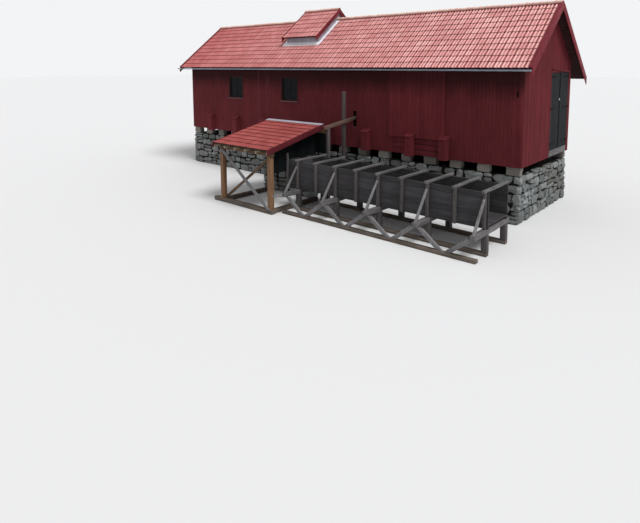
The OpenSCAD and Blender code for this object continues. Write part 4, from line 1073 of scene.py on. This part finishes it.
# %% Build the foundation
OUTSET, IN = 0.05, 0.12
SIDE, END = 2 * HALF, DEPTH + 2 * OUTSET
foundation = (stone_face(-HALF, -OUTSET, FRONT, SIDE) + stone_face(HALF, DEPTH + OUTSET, BACK, SIDE)
              + stone_face(HALF, -OUTSET, RIGHT, END) + stone_face(-HALF, DEPTH + OUTSET, LEFT, END))
stone_wall("foundation", foundation, WALL_H - 0.02, [
    ((-HALF + IN, -OUTSET + IN), (HALF - IN, 0.55)),
    ((-HALF + IN, DEPTH - 0.55), (HALF - IN, DEPTH + OUTSET - IN)),
    ((-HALF + IN, 0.56), (-HALF + 0.6, DEPTH - 0.56)),
    ((HALF - 0.6, 0.56), (HALF - IN, DEPTH - 0.56))], "foundation_sides foundation_ends")

# %% Build the pit wall
PIT = (-1.6, 1.85, -2.2, -1.7)
pit = (stone_face(PIT[0], PIT[2], FRONT, PIT[1] - PIT[0])
       + stone_face(PIT[1], PIT[3], BACK, PIT[1] - PIT[0], 0.22)
       + stone_face(PIT[0], -0.06, LEFT, 2.14)
       + stone_face(PIT[0] + 0.5, PIT[3], RIGHT, 1.64, 0.22)
       + stone_face(PIT[1], PIT[2], RIGHT, 0.5))
stone_wall("pit_wall", pit, WALL_H - 0.03, [
    ((PIT[0] + IN, PIT[2] + IN), (PIT[1] - IN, PIT[3] - 0.05)),
    ((PIT[0] + IN, PIT[3] - 0.04), (PIT[0] + 0.42, -0.06))], "wheel_pit_wall")

# %% [markdown]
# ## Squared blocks
# Split granite blocks carry the sill beams. They are squarer than the field stones, with a
# chipped edge and a rough face.

# %% Set the blocks
blocks = [stone_model(20 + i, 0.82, 0.07) for i in range(6)]
steps = floor((SIDE - 0.62) / 1.2)
step = (SIDE - 0.62 - 0.06) / steps
block_places = []
for i in range(steps + 1):
    for y in (0.03, DEPTH - 0.35):
        middle = moved(-HALF + 0.03 + i * step + 0.31, y + 0.16, (WALL_H + FOOT) / 2)
        size = sized(rng.uniform(0.5, 0.64), rng.uniform(0.3, 0.34), 0.36)
        turn = turned(180 * rng.randint(0, 1), "Z")
        block_places.append((rng.randint(0, 5), middle @ size @ turn))
lay_copies("pier_stones", blocks, block_places, "split_granite", smooth=35,
           stands_for="pier_blocks")
drop(*stones, *blocks)

# %% [markdown]
# ## Planks of the flume
# The channel is built of thick planks on edge, with butt joints at the posts. Each row has its
# own joints, and the planks stand a few millimetres in and out, as old ones do. The heads of the
# bolts through posts, ties and props are the same small domes.

# %% Plank the flume
FLUME = (1.9, 11.05)
BAY, FIRST_POST = 1.05, 2.55
PLANK_W, BED = 0.21, 1.05
plank = board_model("plank", PLANK_W, 0.044, gap=0.002, chamfer=0.008)
side_planks, floor_planks = [], []
for y in (-3.752, -2.204):
    for row in range(5):
        cut = FIRST_POST + BAY * (2, 4, 6)[(row * 2 + 1) % 3]
        for x0, x1 in ((FLUME[0], cut - 0.003), (cut + 0.003, FLUME[1])):
            here = moved(x0, y + rng.uniform(0, 0.005), BED + (row + 0.5) * PLANK_W)
            side_planks.append((0, here @ turned(90, "Y") @ sized(1, 1, x1 - x0)))
lay_copies("flume_side_planks", [plank], side_planks, "grey_timber_x",
           stands_for="flume_walls")
for i in range(7):
    here = moved(FLUME[0], -3.75 + (i + 0.5) * 0.2143, BED)
    floor_planks.append((0, here @ turned(90, "Y") @ turned(90, "Z")
                         @ sized(1.02, 1, FLUME[1] - FLUME[0])))
lay_copies("flume_floor_planks", [plank], floor_planks, "grey_timber_x",
           stands_for="flume_floor")
drop(plank)

# %% Bolt the flume
heads = [(0, moved(FIRST_POST + BAY * i, y, z)) for i in range(9)
         for y, z in ((-3.903, 1.25), (-3.903, 1.85), (-4.003, 2.145))]
lay_copies("flume_bolts", [strap_bolt], heads, "black_iron", smooth=50)
drop(strap_bolt)

# %% [markdown]
# ## The shelter's black boards
# Tarred upright boards close the side of the shelter at the flume's end. The field beside the
# channel hangs lower, and a saw cuts all of them to the slope of the rafters. A short return runs
# back to the grey post.

# %% Board the shelter's side
RAFTER_D, PLATE = 0.11, 0.15
PANEL_FACE, PANEL_T = 1.8997, 0.024
RETURN = (1.9, 2.5365, 2.1905)
TARRED = {"look": "tar_black_and_seam_shadow", "slot": "black_boards", "width": 0.17, "thick": PANEL_T,
          "gap": 0.002, "wobble": 0.0, "stands_for": "side_panel"}
side = lay_boards("side_boards", [(-4.849, -3.8, 1.61, 3.3), (-3.8, -2.0, 2.1, 3.3)],
                  moved(PANEL_FACE - PANEL_T, 0, 0) @ turned(90, "Z"), **TARRED)
saw(side, spot(0, SHELTER_BACK, SHELTER_APEX - (RAFTER_D + 0.002) / cos(SHELTER_PITCH)),
    (0, -sin(SHELTER_PITCH), cos(SHELTER_PITCH)))
return_top = (SHELTER_APEX - RAFTER_D / cos(SHELTER_PITCH)
              - (0.015 + PLATE / 2) * tan(SHELTER_PITCH) - PLATE)
lay_boards("return_boards", [(*RETURN, return_top)], moved(0, -2.0035, 0), **TARRED)

# %% [markdown]
# ## Floor and light
# A pale floor and a pale, even sky keep the colours true. One broad sun from the right
# shapes the gable and the tiles, and its wide angle keeps the shadows soft.

# %% Studio
ground = add_shape(bpy.ops.mesh.primitive_plane_add, "studio_floor", size=600,
                   location=(0, 0, -0.002))
pale = bpy.data.materials.new("studio_floor")
pale.use_nodes = True
shader = pale.node_tree.nodes["Principled BSDF"]
shader.inputs["Base Color"].default_value = (0.72, 0.72, 0.72, 1)
shader.inputs["Roughness"].default_value = 0.9
ground.data.materials.append(pale)

clear_selection()
bpy.ops.object.light_add(type="SUN", location=(30, -20, 40))
sun = bpy.context.object
sun.data.energy = 2.5
sun.data.angle = radians(25)
toward = Vector((0.7, -0.12, 1.0)).normalized()
sun.rotation_mode = "QUATERNION"
sun.rotation_quaternion = toward.to_track_quat("Z", "Y")

world = bpy.data.worlds.new("pale_sky")
world.use_nodes = True
bpy.context.scene.world = world
tree = world.node_tree
path = add(tree, "LightPath").outputs
sky = tree.nodes["Background"]
seen = calc(tree, "MAXIMUM", path["Is Camera Ray"],
            calc(tree, "MAXIMUM", path["Is Glossy Ray"], path["Is Transmission Ray"]))
tree.links.new(ranged(tree, seen, 0.0, 1.0, 0.55, 0.92), sky.inputs["Strength"])
sky.inputs["Color"].default_value = (0.97, 0.98, 1.0, 1)
bpy.context.scene.view_settings.view_transform = "Standard"
